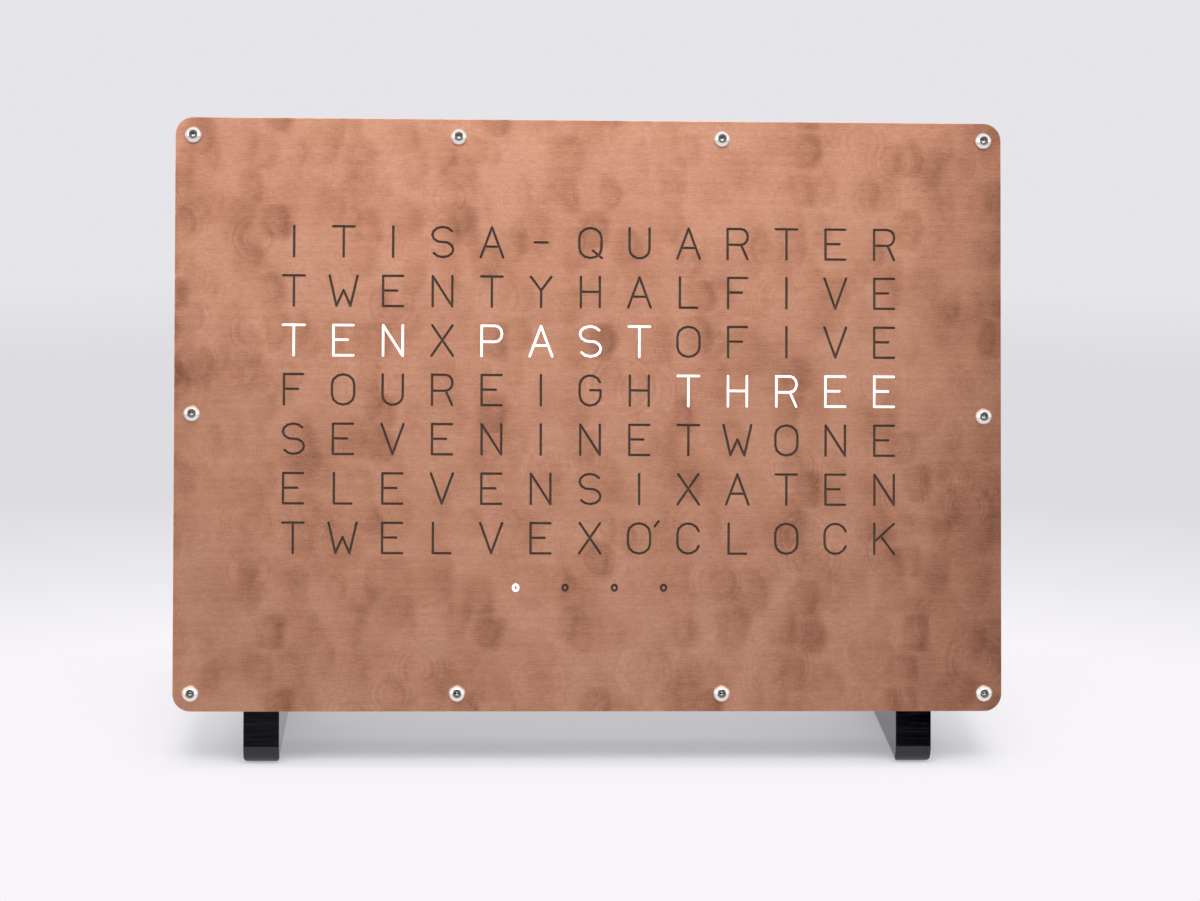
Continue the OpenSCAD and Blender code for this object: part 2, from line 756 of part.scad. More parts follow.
module controller_board() {
    color([0.08, 0.3, 0.2]) leaned() difference() {
        slab(board_y, board_t) translate([0, board_z - board_h / 2])
            panel_outline(board_w, board_h, board_corner_r);
        for (p = clips) rearward(p[0], board_y - cut, p[1])
            cylinder(h = board_t + 2 * cut, r = clip_r + slack / 2);
    }
}

// Nylon supports: a stuck-on pad, a post, and a split tip that snaps through the board
module board_clips() {
    color([0.93, 0.92, 0.88]) leaned() for (p = clips) forward(p[0], back_y, p[1]) difference() {
        union() {
            cylinder(h = clip_pad_t, r = clip_pad_r);
            cylinder(h = board_gap, r = clip_post_r);
            cylinder(h = board_gap + board_t + clip_tip_l, r = clip_r);
            translate([0, 0, board_gap + board_t])
                cylinder(h = clip_barb_l, r1 = clip_r + clip_barb_r, r2 = clip_r);
        }
        translate([-clip_post_r, -clip_split / 2, board_gap])
            cube([2 * clip_post_r, clip_split, board_t + clip_tip_l + cut]);
    }
}

// A small processor board on two pin strips, with its processor, crystal and data socket
module controller_module() {
    top = module_lift + module_size[2];
    color([0.05, 0.15, 0.35]) leaned() {
        on_board(module_x, module_z, module_size, module_lift);
        on_board(module_x + module_size[0] * 0.1, module_z, crystal, top);
        on_board(module_x + data_socket[0] / 2 - module_size[0] / 2, module_z, data_socket, top);
        slab(module_y - processor[2], processor[2])
            translate([module_x - module_size[0] * 0.1, module_z]) rotate(45)
                square([processor[0], processor[1]], center = true);
        for (s = [-1, 1]) on_board(module_x, module_z + s * (module_size[1] - pin_strip_w) / 2,
                                   [module_size[0], pin_strip_w, module_lift]);
    }
}

module clock_chip() {
    color([0.1, 0.1, 0.1]) leaned() {
        on_board(module_x, clock_z, clock_body, clock_lift);
        for (i = [0:7], s = [-1, 1])
            on_board(module_x + (i - 3.5) * clock_leg_pitch, clock_z + s * clock_body[1] * 0.57, clock_leg);
    }
}

// A round cup for the cell, open at the top where the cell is pushed out
module cell_holder() {
    rim_r = cell_r + cell_rim;
    depth = cell_floor + cell_t;
    color([0.12, 0.12, 0.13]) leaned() forward(cell_x, board_y, cell_z) difference() {
        cylinder(h = depth, r = rim_r);
        translate([0, 0, cell_floor]) cylinder(h = cell_t + cut, r = cell_r + slack / 2);
        translate([-cell_r / 2, cell_r / 2, cell_floor]) cube([cell_r, cell_r, cell_t + cut]);
    }
}

module coin_cell() {
    color([0.8, 0.8, 0.78]) leaned() forward(cell_x, board_y - cell_floor, cell_z) {
        cylinder(h = cell_t * 0.75, r = cell_r);
        cylinder(h = cell_t, r = cell_r - cell_step);
    }
}

// A can that lies on the board, with a groove near its foot and a crimped rubber end
module smoothing_capacitor() {
    groove = [0.35, 1.2];
    color([0.1, 0.15, 0.4]) leaned() translate([capacitor_x, board_y - capacitor_r, capacitor_z])
        difference() {
            cylinder(h = capacitor_l, r = capacitor_r);
            translate([0, 0, groove[1]]) rotate_extrude()
                translate([capacitor_r, 0]) circle(groove[0], $fn = 24);
            translate([0, 0, -cut]) cylinder(h = cut + groove[0], r = capacitor_r - 2 * groove[0]);
        }
}

// Three sockets that open at the board's lower edge: buttons, LEDs and power
module lead_sockets() {
    color([0.93, 0.92, 0.88]) leaned() for (x = lead_sockets_x) difference() {
        on_board(x, board_low + lead_socket[1] / 2, lead_socket);
        translate([x - lead_mouth[0] / 2, lead_y - lead_mouth[1] / 2, board_low - cut])
            cube([lead_mouth[0], lead_mouth[1], lead_socket[1] - lead_socket_wall + cut]);
    }
}

module lead_plugs() {
    size = [lead_mouth[0] - slack, lead_mouth[1] - slack, plug_out + lead_socket[1] - lead_socket_wall];
    color([0.93, 0.92, 0.88]) leaned() for (x = lead_sockets_x)
        translate([x - size[0] / 2, lead_y - size[1] / 2, plug_z]) cube(size);
}

// ---- Power socket and buttons -------------------------------------------------------------

// Two flat solder lugs below height z
module lugs(x, z, l) {
    for (s = [-1, 1]) translate([s * x - lug[0] / 2, -lug[1] / 2, z - l]) cube([lug[0], lug[1], l + slack]);
}

module power_socket() {
    mouth = back_t + socket_rim;
    color([0.12, 0.12, 0.12]) leaned() rearward(socket_x, back_y, controls_h) {
        difference() {
            union() {
                translate([0, 0, back_t]) cylinder(h = socket_rim, r = socket_barrel_r + socket_rim);
                translate([0, 0, -socket_barrel_l])
                    cylinder(h = socket_barrel_l + mouth, r = socket_barrel_r);
                lugs(socket_lug_x, -socket_barrel_l, socket_lug_l);
            }
            translate([0, 0, mouth - socket_bore_l]) cylinder(h = socket_bore_l + cut, r = socket_bore_r);
        }
        translate([0, 0, mouth - socket_bore_l - socket_pin_short])
            cylinder(h = socket_bore_l, r = socket_pin_r);
    }
}

module power_socket_nut() {
    color([0.8, 0.8, 0.8]) leaned() rearward(socket_x, back_y - socket_nut_t, controls_h)
        hex_nut(2 * (socket_barrel_r + nut_wall), socket_nut_t, socket_barrel_r + thread_gap);
}

// A body inside the case, a threaded neck through the back plate, and a room for the plunger
module button_body(x) {
    room_r = flange_r + 2 * plunger_gap;
    color([0.75, 0.12, 0.1]) leaned() rearward(x, back_y, controls_h) difference() {
        union() {
            translate([0, 0, -button_body_l]) cylinder(h = button_body_l, r = button_body_r);
            cylinder(h = neck_top, r = neck_r);
            lugs(button_lug_x, -button_body_l, button_lug_l);
        }
        translate([0, 0, -button_shoulder - cut])
            cylinder(h = neck_top + button_shoulder + 2 * cut, r = plunger_r + plunger_gap);
        translate([0, 0, -button_shoulder - plunger_room]) cylinder(h = plunger_room, r = room_r);
    }
}

module button_nut(x) {
    color([0.8, 0.8, 0.8]) leaned() rearward(x, case_d, controls_h)
        hex_nut(2 * (neck_r + nut_wall), button_nut_t, neck_r + thread_gap);
}

// A flange that stays under the shoulder, and a stem whose outer end is rounded
module button_plunger(x) {
    low = -button_shoulder - plunger_gap - flange_t;
    top = neck_top + plunger_out;
    color([0.1, 0.1, 0.1]) leaned() rearward(x, back_y, controls_h) {
        translate([0, 0, low]) cylinder(h = flange_t, r = flange_r);
        translate([0, 0, low]) cylinder(h = top - plunger_round - low, r = plunger_r);
        translate([0, 0, low]) cylinder(h = top - low, r = plunger_r - plunger_round);
        translate([0, 0, top - plunger_round]) rotate_extrude()
            translate([plunger_r - plunger_round, 0]) circle(plunger_round, $fn = 32);
    }
}

// A pair of wires, from lugs at lug_x on either side of x to a plug at x = to
module board_lead(x, lug_x, lug_y, to) {
    wires([[x, lug_y + 1, controls_h + lug[1] / 2],
           [x, lug_y + 1, controls_h + 8],
           [(x + 3 * to) / 4, room_y + 4.5, (controls_h + plug_z) / 2],
           [to, lead_y, plug_z - 8],
           [to, lead_y, plug_z]],
          2, [1, 0, 0], 2 * lug_x);
}

module button_leads() {
    lug_y = back_y - button_body_l - button_lug_l;
    color([0.15, 0.15, 0.16]) leaned() {
        board_lead(hour_x, button_lug_x, lug_y, lead_sockets_x[0] + wire_gap);
        board_lead(minute_button_x, button_lug_x, lug_y, lead_sockets_x[0] - wire_gap);
    }
}

module power_lead() {
    color([0.75, 0.12, 0.1]) leaned()
        board_lead(socket_x, socket_lug_x, back_y - socket_barrel_l - socket_lug_l, lead_sockets_x[2]);
}

// ---- The clock ----------------------------------------------------------------------------

face_plate();
diffuser_sheet();
light_grid();
for (r = [0:rows - 1]) led_strip(r);
minute_led_strip();
led_carrier();
strip_links();
minute_lead();
led_lead();
lead_grommet();
case_frame();
back_plate();
face_screws();
face_inserts();
back_screws();
back_inserts();
carrier_pillars();
carrier_screws();
pillar_screws();
foot(-1);  // foot_left
foot(1);  // foot_right
foot_screws();
foot_nuts();
controller_board();
board_clips();
controller_module();
clock_chip();
cell_holder();
coin_cell();
smoothing_capacitor();
lead_sockets();
lead_plugs();
power_socket();
power_socket_nut();
power_lead();
button_body(hour_x);  // hour_button_body
button_nut(hour_x);  // hour_button_nut
button_plunger(hour_x);  // hour_button_plunger
button_body(minute_button_x);  // minute_button_body
button_nut(minute_button_x);  // minute_button_nut
button_plunger(minute_button_x);  // minute_button_plunger
button_leads();
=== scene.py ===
import math
import bmesh
import bpy
from mathutils import Matrix, Vector


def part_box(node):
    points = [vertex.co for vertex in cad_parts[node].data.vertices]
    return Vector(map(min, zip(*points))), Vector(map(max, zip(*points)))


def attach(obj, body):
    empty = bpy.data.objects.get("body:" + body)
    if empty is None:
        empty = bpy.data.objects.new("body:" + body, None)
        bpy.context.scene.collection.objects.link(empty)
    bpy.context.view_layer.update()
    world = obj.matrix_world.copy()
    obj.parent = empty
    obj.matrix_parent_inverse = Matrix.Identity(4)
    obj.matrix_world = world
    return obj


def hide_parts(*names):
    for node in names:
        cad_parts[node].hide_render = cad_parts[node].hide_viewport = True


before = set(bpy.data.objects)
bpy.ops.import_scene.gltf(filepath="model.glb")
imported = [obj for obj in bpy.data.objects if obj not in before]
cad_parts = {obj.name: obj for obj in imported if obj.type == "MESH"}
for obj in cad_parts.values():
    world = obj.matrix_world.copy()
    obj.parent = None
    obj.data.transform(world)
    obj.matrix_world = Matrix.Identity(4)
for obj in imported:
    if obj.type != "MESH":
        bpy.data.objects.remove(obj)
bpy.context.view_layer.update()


# ---- Copper face --------------------------------------------------------------------------------
# One millimetre of copper, milled through with a single pass of a small cutter for each stroke of
# a letter, so every stroke has the same width and round ends. The letters' middles stay behind,
# bonded to the sheet below, and the cut edges are broken by a tiny chamfer.
mm = 0.001
face_t = 1.0 * mm
corner_r = 6 * mm
corner_steps = 14
hole_r = 1.7 * mm
hole_sides = 32
screw_inset = 6 * mm
edge_break = 0.12 * mm
cutter_r = 0.41 * mm
cutter_sides = 14
chamfer = 0.06 * mm
run_past = 0.3 * mm
pitch = 1 / 60                     # from lamp to lamp on a standard strip
letter_h = 10.2 * mm
cap = letter_h / 2 / mm            # half a letter's height, in millimetres as the strokes are

# The clock leans back on its feet. In the face's own frame X runs to the right, Y up the face and
# Z out of it, and the origin is the middle of the face's lower front edge.
face_lean = math.radians(14)
sheet_low, sheet_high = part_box("face_plate")
face_w = sheet_high.x - sheet_low.x
lower_edge = Vector((0, sheet_low.y, sheet_low.z + face_t * math.sin(face_lean)))
face_h = (sheet_high.z - lower_edge.z) / math.cos(face_lean)
on_face = Matrix.Translation(lower_edge) @ Matrix.Rotation(math.radians(90) - face_lean, 4, "X")

screw_x = face_w / 2 - screw_inset
screw_places = [(x * screw_x, y) for x in (-1, -1 / 3, 1 / 3, 1) for y in (screw_inset, face_h - screw_inset)]
screw_places += [(x * screw_x, face_h / 2) for x in (-1, 1)]

dial = ["ITISA-QUARTER",
        "TWENTYHALFIVE",
        "TENXPASTOFIVE",
        "FOUREIGHTHREE",
        "SEVENINETWONE",
        "ELEVENSIXATEN",
        "TWELVEXOCLOCK"]
columns = len(dial[0])
rows = len(dial)
minutes = 4
apostrophe = (rows - 1, 7)
lit_cells = {(2, c) for c in (0, 1, 2, 4, 5, 6, 7)} | {(3, c) for c in range(8, 13)}
lit_minutes = 1
letters_top = face_h / 2 + (rows + 1) * pitch / 2


def cell_middle(row, column, count=columns):
    return Vector(((column - (count - 1) / 2) * pitch, letters_top - (row + 0.5) * pitch, 0))


def curve(x, y, rx, ry, start, end, steps):
    """Points along part of an ellipse, from one angle to another in degrees."""
    turns = [math.radians(start + (end - start) * i / steps) for i in range(steps + 1)]
    return [(x + rx * math.cos(t), y + ry * math.sin(t)) for t in turns]


# Each letter is a list of strokes, and each stroke a list of points in millimetres
bowl = [(-3.4, cap)] + curve(1.2, cap - 2.7, 2.3, 2.7, 90, -90, 6) + [(-3.4, cap - 5.4)]
oval = curve(0, 1.8, 3.75, 3.3, 0, 180, 6) + curve(0, -1.8, 3.75, 3.3, 180, 360, 6) + [(3.75, 1.8)]
letters = {
    "A": [[(-3.8, -cap), (0, cap), (3.8, -cap)], [(-2.45, -1.45), (2.45, -1.45)]],
    "C": [curve(0, 1.7, 3.65, 3.4, 15, 180, 6) + curve(0, -1.7, 3.65, 3.4, 180, 345, 6)],
    "E": [[(3.35, cap), (-3.35, cap), (-3.35, -cap), (3.35, -cap)], [(-3.35, 0.15), (1.4, 0.15)]],
    "F": [[(3.2, cap), (-3.2, cap), (-3.2, -cap)], [(-3.2, 0.15), (1.5, 0.15)]],
    "G": [curve(0, 1.7, 3.55, 3.4, 20, 180, 6) + curve(0, -1.7, 3.55, 3.4, 180, 360, 6)
          + [(3.55, 0.1), (0, 0.1)]],
    "H": [[(-3.2, cap), (-3.2, -cap)], [(3.2, cap), (3.2, -cap)], [(-3.2, 0.1), (3.2, 0.1)]],
    "I": [[(0, cap), (0, -cap)]],
    "K": [[(-3.35, cap), (-3.35, -cap)], [(3.35, cap), (-3.35, -0.95)], [(-1.2, 0.98), (3.35, -cap)]],
    "L": [[(-2.95, cap), (-2.95, -cap), (2.95, -cap)]],
    "N": [[(-3.3, -cap), (-3.3, cap), (3.3, -cap), (3.3, cap)]],
    "O": [oval],
    "P": [bowl, [(-3.4, cap), (-3.4, -cap)]],
    "Q": [oval, [(0.85, -2.6), (3.9, -cap)]],
    "R": [bowl, [(-3.4, cap), (-3.4, -cap)], [(1.2, cap - 5.4), (3.35, -cap)]],
    "S": [curve(0, 2.5, 3.5, 2.6, 30, 245, 7) + curve(0.1, -2.5, 3.5, 2.6, 65, -150, 7)],
    "T": [[(-3.6, cap), (3.6, cap)], [(0, cap), (0, -cap)]],
    "U": [[(-3.4, cap)] + curve(0, -2, 3.4, 3.1, 180, 360, 7) + [(3.4, cap)]],
    "V": [[(-3.7, cap), (0, -cap), (3.7, cap)]],
    "W": [[(-4.7, cap), (-2.35, -cap), (0, 0.25), (2.35, -cap), (4.7, cap)]],
    "X": [[(-3.4, cap), (3.6, -cap)], [(3.4, cap), (-3.6, -cap)]],
    "Y": [[(-3.45, cap), (0, 0.45), (3.45, cap)], [(0, 0.45), (0, -cap)]],
    "-": [[(-2.15, 0.1), (2.15, 0.1)]],
    "'": [[(5.3, 4.1), (6.6, 5.8)]],
    "dot": [curve(0, 0, 0.86, 1.0, 0, 360, 14)],
}


def finish_mesh(name, bm, place=None, smooth=30):
    """Turns a bmesh into an object at the origin, with its place in its mesh."""
    if place is not None:
        bmesh.ops.transform(bm, matrix=place, verts=bm.verts)
    mesh = bpy.data.meshes.new(name)
    bm.to_mesh(mesh)
    bm.free()
    mesh.shade_smooth()
    mesh.set_sharp_from_angle(angle=math.radians(smooth))
    piece = bpy.data.objects.new(name, mesh)
    bpy.context.collection.objects.link(piece)
    return piece


def cut_stroke(bm, start, end):
    """One pass of the cutter: a slot with round ends that widens at the face."""
    along = end - start
    turn = Matrix.Translation(start) @ Matrix.Rotation(math.atan2(along.y, along.x), 4, "Z")
    half_side = Matrix.Rotation(math.pi / (2 * cutter_sides), 4, "Z")
    flared = cutter_r + chamfer + run_past
    edges = []
    for z, r in ((-face_t - run_past, cutter_r), (-chamfer, cutter_r), (run_past, flared)):
        circle = bmesh.ops.create_circle(bm, segments=cutter_sides, radius=r, matrix=half_side)
        far = [v for v in circle["verts"] if v.co.x > 0]
        bmesh.ops.translate(bm, verts=far, vec=(along.length, 0, 0))
        bmesh.ops.translate(bm, verts=circle["verts"], vec=(0, 0, z))
        bmesh.ops.transform(bm, matrix=turn, verts=circle["verts"])
        edges.append(list({e for v in circle["verts"] for e in v.link_edges}))
    for low, high in zip(edges, edges[1:]):
        bmesh.ops.bridge_loops(bm, edges=low + high)
    for rim in (edges[0], edges[-1]):
        bmesh.ops.contextual_create(bm, geom=rim)
    return bm


def combined(solids, operation="UNION", solver="EXACT"):
    """The first closed mesh, with the others joined to it, cut from it or shared with it."""
    whole = solids[0]
    for other in solids[1:]:
        step = whole.modifiers.new("step", "BOOLEAN")
        step.operation = operation
        step.solver = solver
        step.object = other
    bpy.context.view_layer.update()
    mesh = bpy.data.meshes.new_from_object(whole.evaluated_get(bpy.context.evaluated_depsgraph_get()))
    for solid in solids:
        bpy.data.objects.remove(solid)
    return mesh


def copies(mesh, places, bm=None):
    """A copy of the mesh at each place, all in one bmesh."""
    bm = bm or bmesh.new()
    for place in places:
        known = set(bm.verts)
        bm.from_mesh(mesh)
        bmesh.ops.transform(bm, matrix=place, verts=[v for v in bm.verts if v not in known])
    return bm


def cut_letter(name):
    """All the passes that make one letter, joined into one closed cutter."""
    solids = []
    for stroke in letters[name]:
        for start, end in zip(stroke, stroke[1:]):
            bm = cut_stroke(bmesh.new(), Vector((*start, 0)) * mm, Vector((*end, 0)) * mm)
            bmesh.ops.recalc_face_normals(bm, faces=bm.faces)
            solids.append(finish_mesh("pass", bm))
    return combined(solids)


def rounded_sheet(low, high):
    """A sheet of the face's outline, from one height over the face to another."""
    bm = bmesh.new()
    sides = [(-face_w / 2, 0), (face_w / 2, 0), (face_w / 2, face_h), (-face_w / 2, face_h)]
    bm.faces.new([bm.verts.new((x, y, low)) for x, y in sides])
    bmesh.ops.bevel(bm, geom=bm.verts[:], affect="VERTICES", offset=corner_r, segments=corner_steps,
                    profile=0.5, material=-1)
    raised = bmesh.ops.extrude_face_region(bm, geom=bm.faces[:])
    bmesh.ops.translate(bm, vec=(0, 0, high - low),
                        verts=[v for v in raised["geom"] if isinstance(v, bmesh.types.BMVert)])
    bmesh.ops.recalc_face_normals(bm, faces=bm.faces)
    return bm


cutters = bmesh.new()
shapes = {name: cut_letter(name) for name in letters}
placed = [(dial[r][c], cell_middle(r, c)) for r in range(rows) for c in range(columns)]
placed += [("'", cell_middle(*apostrophe))]
placed += [("dot", cell_middle(rows, m, minutes)) for m in range(minutes)]
for name, middle in placed:
    copies(shapes[name], [Matrix.Translation(middle)], cutters)
for x, y in screw_places:
    bmesh.ops.create_cone(cutters, cap_ends=True, segments=hole_sides, radius1=hole_r, radius2=hole_r,
                          depth=4 * face_t, matrix=Matrix.Translation((x, y, 0)))
cutter_set = finish_mesh("cutter_set", cutters)

plate_bm = rounded_sheet(-face_t, 0)
rims = [e for e in plate_bm.edges if abs(e.verts[0].co.z - e.verts[1].co.z) < edge_break]
bmesh.ops.bevel(plate_bm, geom=rims, affect="EDGES", offset=edge_break, segments=2, profile=0.5, material=-1)
milled = combined([finish_mesh("plate", plate_bm), cutter_set], "DIFFERENCE", "MANIFOLD")
copper_face = finish_mesh("copper_face", copies(milled, [on_face]), smooth=15)

# The flat sides are shaded flat, so that their long thin faces leave no seams, and each corner
# gets its place across and up the sheet, which gives the brushing its direction
flat_enough = 0.9
outward = on_face.to_3x3() @ Vector((0, 0, 1))
for polygon in copper_face.data.polygons:
    polygon.use_smooth = abs(polygon.normal.dot(outward)) < flat_enough
along_brushing = copper_face.data.uv_layers.new(name="along_brushing")
for loop in copper_face.data.loops:
    place = on_face.inverted() @ copper_face.data.vertices[loop.vertex_index].co
    along_brushing.data[loop.index].uv = (place.x / face_w + 0.5, place.y / face_h)


class Finish:
    """A material and its nodes, with a few short calls to build and join them."""

    def __init__(self, name, colour, roughness, metallic=0.0, **sockets):
        self.material = bpy.data.materials.new(name)
        self.material.use_nodes = True
        self.nodes = self.material.node_tree.nodes
        self.links = self.material.node_tree.links
        self.surface = self.nodes["Principled BSDF"]
        self.surface.inputs["Base Color"].default_value = (*colour, 1)
        self.surface.inputs["Roughness"].default_value = roughness
        self.surface.inputs["Metallic"].default_value = metallic
        for socket, value in sockets.items():
            self.surface.inputs[socket.replace("_", " ")].default_value = value
        self.place = self.nodes.new("ShaderNodeTexCoord").outputs["Object"]

    def join(self, source, target):
        self.links.new(source, target)

    def node(self, kind, inputs=(), **settings):
        made = self.nodes.new("ShaderNode" + kind)
        for key, value in settings.items():
            setattr(made, key, value)
        for key, value in dict(inputs).items():
            if isinstance(value, bpy.types.NodeSocket):
                self.join(value, made.inputs[key])
            else:
                made.inputs[key].default_value = value
        return made

    def stretched(self, vector, scale):
        return self.node("Mapping", {"Vector": vector, "Scale": scale}).outputs[0]

    def face_place(self, scale=(1, 1, 1)):
        """The place on the leaning face, in its own X, Y and Z."""
        back = on_face.inverted()
        turned = self.node("Mapping", {"Vector": self.place, "Location": back.translation,
                                       "Rotation": back.to_euler()})
        return self.stretched(turned.outputs[0], scale)

    def noise(self, vector, scale=1.0, detail=2.0, roughness=0.5, distortion=0.0):
        return self.node("TexNoise", {"Vector": vector, "Scale": scale, "Detail": detail,
                                      "Roughness": roughness, "Distortion": distortion}).outputs["Fac"]

    def math(self, operation, a, b=0.0, third=0.0, clamp=False):
        return self.node("Math", {0: a, 1: b, 2: third}, operation=operation, use_clamp=clamp).outputs[0]

    def vector(self, operation, a, b=(0, 0, 0), third=(0, 0, 0)):
        return self.node("VectorMath", {0: a, 1: b, 2: third}, operation=operation).outputs[0]

    def length(self, vector):
        return self.node("VectorMath", {0: vector}, operation="LENGTH").outputs["Value"]

    def parts(self, vector):
        return self.node("SeparateXYZ", {0: vector}).outputs

    def ramp(self, value, stops, interpolation="LINEAR"):
        """A colour or a number along value, through stops of (place, colour)."""
        made = self.node("ValToRGB", {"Fac": value})
        made.color_ramp.interpolation = interpolation
        while len(made.color_ramp.elements) < len(stops):
            made.color_ramp.elements.new(1)
        for element, (at, colour) in zip(made.color_ramp.elements, stops):
            element.position = at
            element.color = (colour,) * 3 + (1,) if isinstance(colour, (int, float)) else (*colour, 1)
        return made.outputs["Color"]

    def mix(self, factor, a, b):
        made = self.node("Mix", data_type="RGBA")
        for socket, value in ((made.inputs["Factor"], factor), (made.inputs[6], a), (made.inputs[7], b)):
            if isinstance(value, bpy.types.NodeSocket):
                self.join(value, socket)
            else:
                socket.default_value = (*value, 1)
        return made.outputs[2]

    def colour(self, socket):
        self.join(socket, self.surface.inputs["Base Color"])

    def roughness(self, varied, spread, least):
        """A roughness that rises over least with what varies, by up to spread."""
        rise = self.math("MULTIPLY", varied, spread)
        self.join(self.math("ADD", rise, least), self.surface.inputs["Roughness"])

    def soften(self, radius):
        """Shades sharp edges as if they were rounded by a radius."""
        self.join(self.node("Bevel", {"Radius": radius}, samples=6).outputs[0], self.surface.inputs["Normal"])

    def bump(self, height, distance, strength=1.0):
        """Raises the surface by height times a distance in metres."""
        made = self.node("Bump", {"Height": height, "Distance": distance, "Strength": strength})
        if self.surface.inputs["Normal"].links:
            self.join(self.surface.inputs["Normal"].links[0].from_socket, made.inputs["Normal"])
        self.join(made.outputs[0], self.surface.inputs["Normal"])


# Brushed lengthways, then polished with a turning pad that was set down in rows and columns. Each
# touch left an oval, and each turn faint overlapping rounds with fine arcs in them. The ovals' dark
# crescents, and the arcs showing most at a round's left and right sides, are painted reflection of
# the swirled grain. The right edge is darker with painted shade.
copper = Finish("brushed_copper", (0.52, 0.25, 0.17), 0.34, metallic=1.0, Anisotropic=0.6,
                Anisotropic_Rotation=0.25)
spot = copper.face_place()
copper.join(copper.node("Tangent", direction_type="UV_MAP", uv_map="along_brushing").outputs[0],
            copper.surface.inputs["Tangent"])
oval_wander = 6 * mm
wanders_per_metre = 70
arcs_per_metre = 1100.0
arcs_apart = 50.0                  # how far the arcs of two rounds lie apart in the noise
round_eye = 2 * mm                 # where the arcs fade at a round's middle
round_unevenness = 0.8
round_weight = 0.95


def cells(laid, unevenness, feature):
    return copper.node("TexVoronoi", {"Vector": laid, "Scale": 1.0, "Randomness": unevenness},
                       voronoi_dimensions="2D", feature=feature).outputs


def touches(size, moved, unevenness):
    """The face measured in touches of the pad, the way from the nearest one, and its chances."""
    laid = copper.node("Mapping", {"Vector": spot, "Location": (*moved, 0),
                                   "Scale": (1 / size[0], 1 / size[1], 0)}).outputs[0]
    nearest = cells(laid, unevenness, "F1")
    off = copper.vector("MULTIPLY", copper.vector("SUBTRACT", laid, nearest["Position"]), (*size, 0))
    return laid, off, copper.node("SeparateColor", {0: nearest["Color"]}).outputs


def pad_ovals_painted_dark(size, moved, unevenness, across, tall):
    """The painted reflection in the pad's touches: darkest half way out from an oval's middle, more on one
    side.
    """
    laid, off, chance = touches(size, moved, unevenness)
    drift = copper.node("TexNoise", {"Vector": spot, "Scale": wanders_per_metre}).outputs["Color"]
    wander = copper.vector("SUBTRACT", drift, (0.5, 0.5, 0.5))
    off = copper.vector("MULTIPLY_ADD", wander, (oval_wander, oval_wander, 0), off)
    off = copper.vector("MULTIPLY", off, (1 / across, 1 / tall, 0))
    shape = copper.ramp(copper.length(off), [(0.1, 0.7), (0.5, 1.0), (1.0, 0.0)], "EASE")
    inside = cells(laid, unevenness, "DISTANCE_TO_EDGE")["Distance"]
    shape = copper.math("MULTIPLY", shape, copper.ramp(inside, [(0.0, 0.5), (0.14, 1.0)], "EASE"))
    # Painted reflection: each oval is darker towards its right side
    lean = copper.math("MULTIPLY_ADD", copper.parts(off)[0], 0.5, third=0.7)
    return copper.math("MULTIPLY", copper.math("MULTIPLY", shape, chance[0]), lean)


def arcs_with_painted_reflection(size, moved):
    """How the arcs of the pad's turns run, as painted reflection: strongest at a round's sides, and gone at
    its rim.
    """
    _, off, chance = touches((size, size), moved, round_unevenness)
    away = copper.length(off)
    # Painted reflection: the arcs show most at a round's left and right sides
    side = copper.math("DIVIDE", copper.parts(off)[0], copper.math("ADD", away, round_eye))
    rings = copper.node("CombineXYZ", {0: copper.math("MULTIPLY", away, arcs_per_metre),
                                       1: copper.math("MULTIPLY", chance[2], arcs_apart)}).outputs[0]
    arcs = copper.math("SUBTRACT", copper.noise(rings), 0.5)
    share = copper.math("DIVIDE", away, size)
    strength = copper.ramp(share, [(0.02, 0.0), (0.12, 1.0), (0.34, 0.8), (0.46, 0.0)])
    arcs = copper.math("MULTIPLY", arcs, strength)
    arcs = copper.math("MULTIPLY", arcs, copper.math("ABSOLUTE", side))
    return copper.math("MULTIPLY", arcs, chance[0])


def add(total, part, weight):
    return copper.math("MULTIPLY_ADD", part, weight, third=total)


smudge = copper.noise(copper.face_place((1, 0.8, 0)), 48, detail=3, roughness=0.45, distortion=0.4)
darkness = copper.math("MULTIPLY", copper.ramp(smudge, [(0.42, 0.0), (0.74, 1.0)], "EASE"), 0.24)
darkness = add(darkness, copper.noise(spot, 11), 0.3)

# Of each set of ovals: the space that one takes, the set's shift, how unevenly it was laid, half
# an oval's width and height, and how much it darkens
oval_sets = (((0.036, 0.0125), (0.35, 0.1), 0.45, 0.0068, 0.0105, 0.46),
             ((0.018, 0.0165), (0.1, 0.6), 0.8, 0.0075, 0.0095, 0.27),
             ((0.024, 0.021), (0.7, 0.4), 0.95, 0.0100, 0.0120, 0.23),
             ((0.013, 0.019), (0.4, 0.9), 0.9, 0.0045, 0.0080, 0.23))
for size, moved, unevenness, across, tall, weight in oval_sets:
    darkness = add(darkness, pad_ovals_painted_dark(size, moved, unevenness, across, tall), weight)
for size, moved in ((0.026, (0.0, 0.0)), (0.031, (0.37, 0.61)), (0.022, (0.83, 0.29))):
    darkness = add(darkness, arcs_with_painted_reflection(size, moved), round_weight)
# Painted shade: the copper darkens towards its right edge
painted_right_shade = copper.ramp(copper.parts(spot)[0], [(0.108, 0.0), (0.14, 1.0)])
darkness = add(darkness, painted_right_shade, 0.34)
dashes = copper.noise(copper.face_place((330, 2700, 0)), detail=4, roughness=0.65)
weave = copper.noise(copper.face_place((2600, 380, 0)), detail=3, roughness=0.6)
streaks = copper.noise(copper.face_place((34, 600, 0)), detail=4, roughness=0.6)
for grain, weight in ((dashes, 0.92), (weave, 0.46), (streaks, 0.40)):
    darkness = add(darkness, copper.math("SUBTRACT", grain, 0.5), weight)
copper.colour(copper.ramp(darkness, [(0.0, (0.69, 0.357, 0.243)), (0.4, (0.545, 0.254, 0.160)),
                                     (1.0, (0.28, 0.116, 0.071))]))
copper.roughness(dashes, spread=0.16, least=0.28)
copper.bump(streaks, 0.01 * mm, 0.6)
copper_face.data.materials.append(copper.material)
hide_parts("face_plate")
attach(copper_face, "clock")
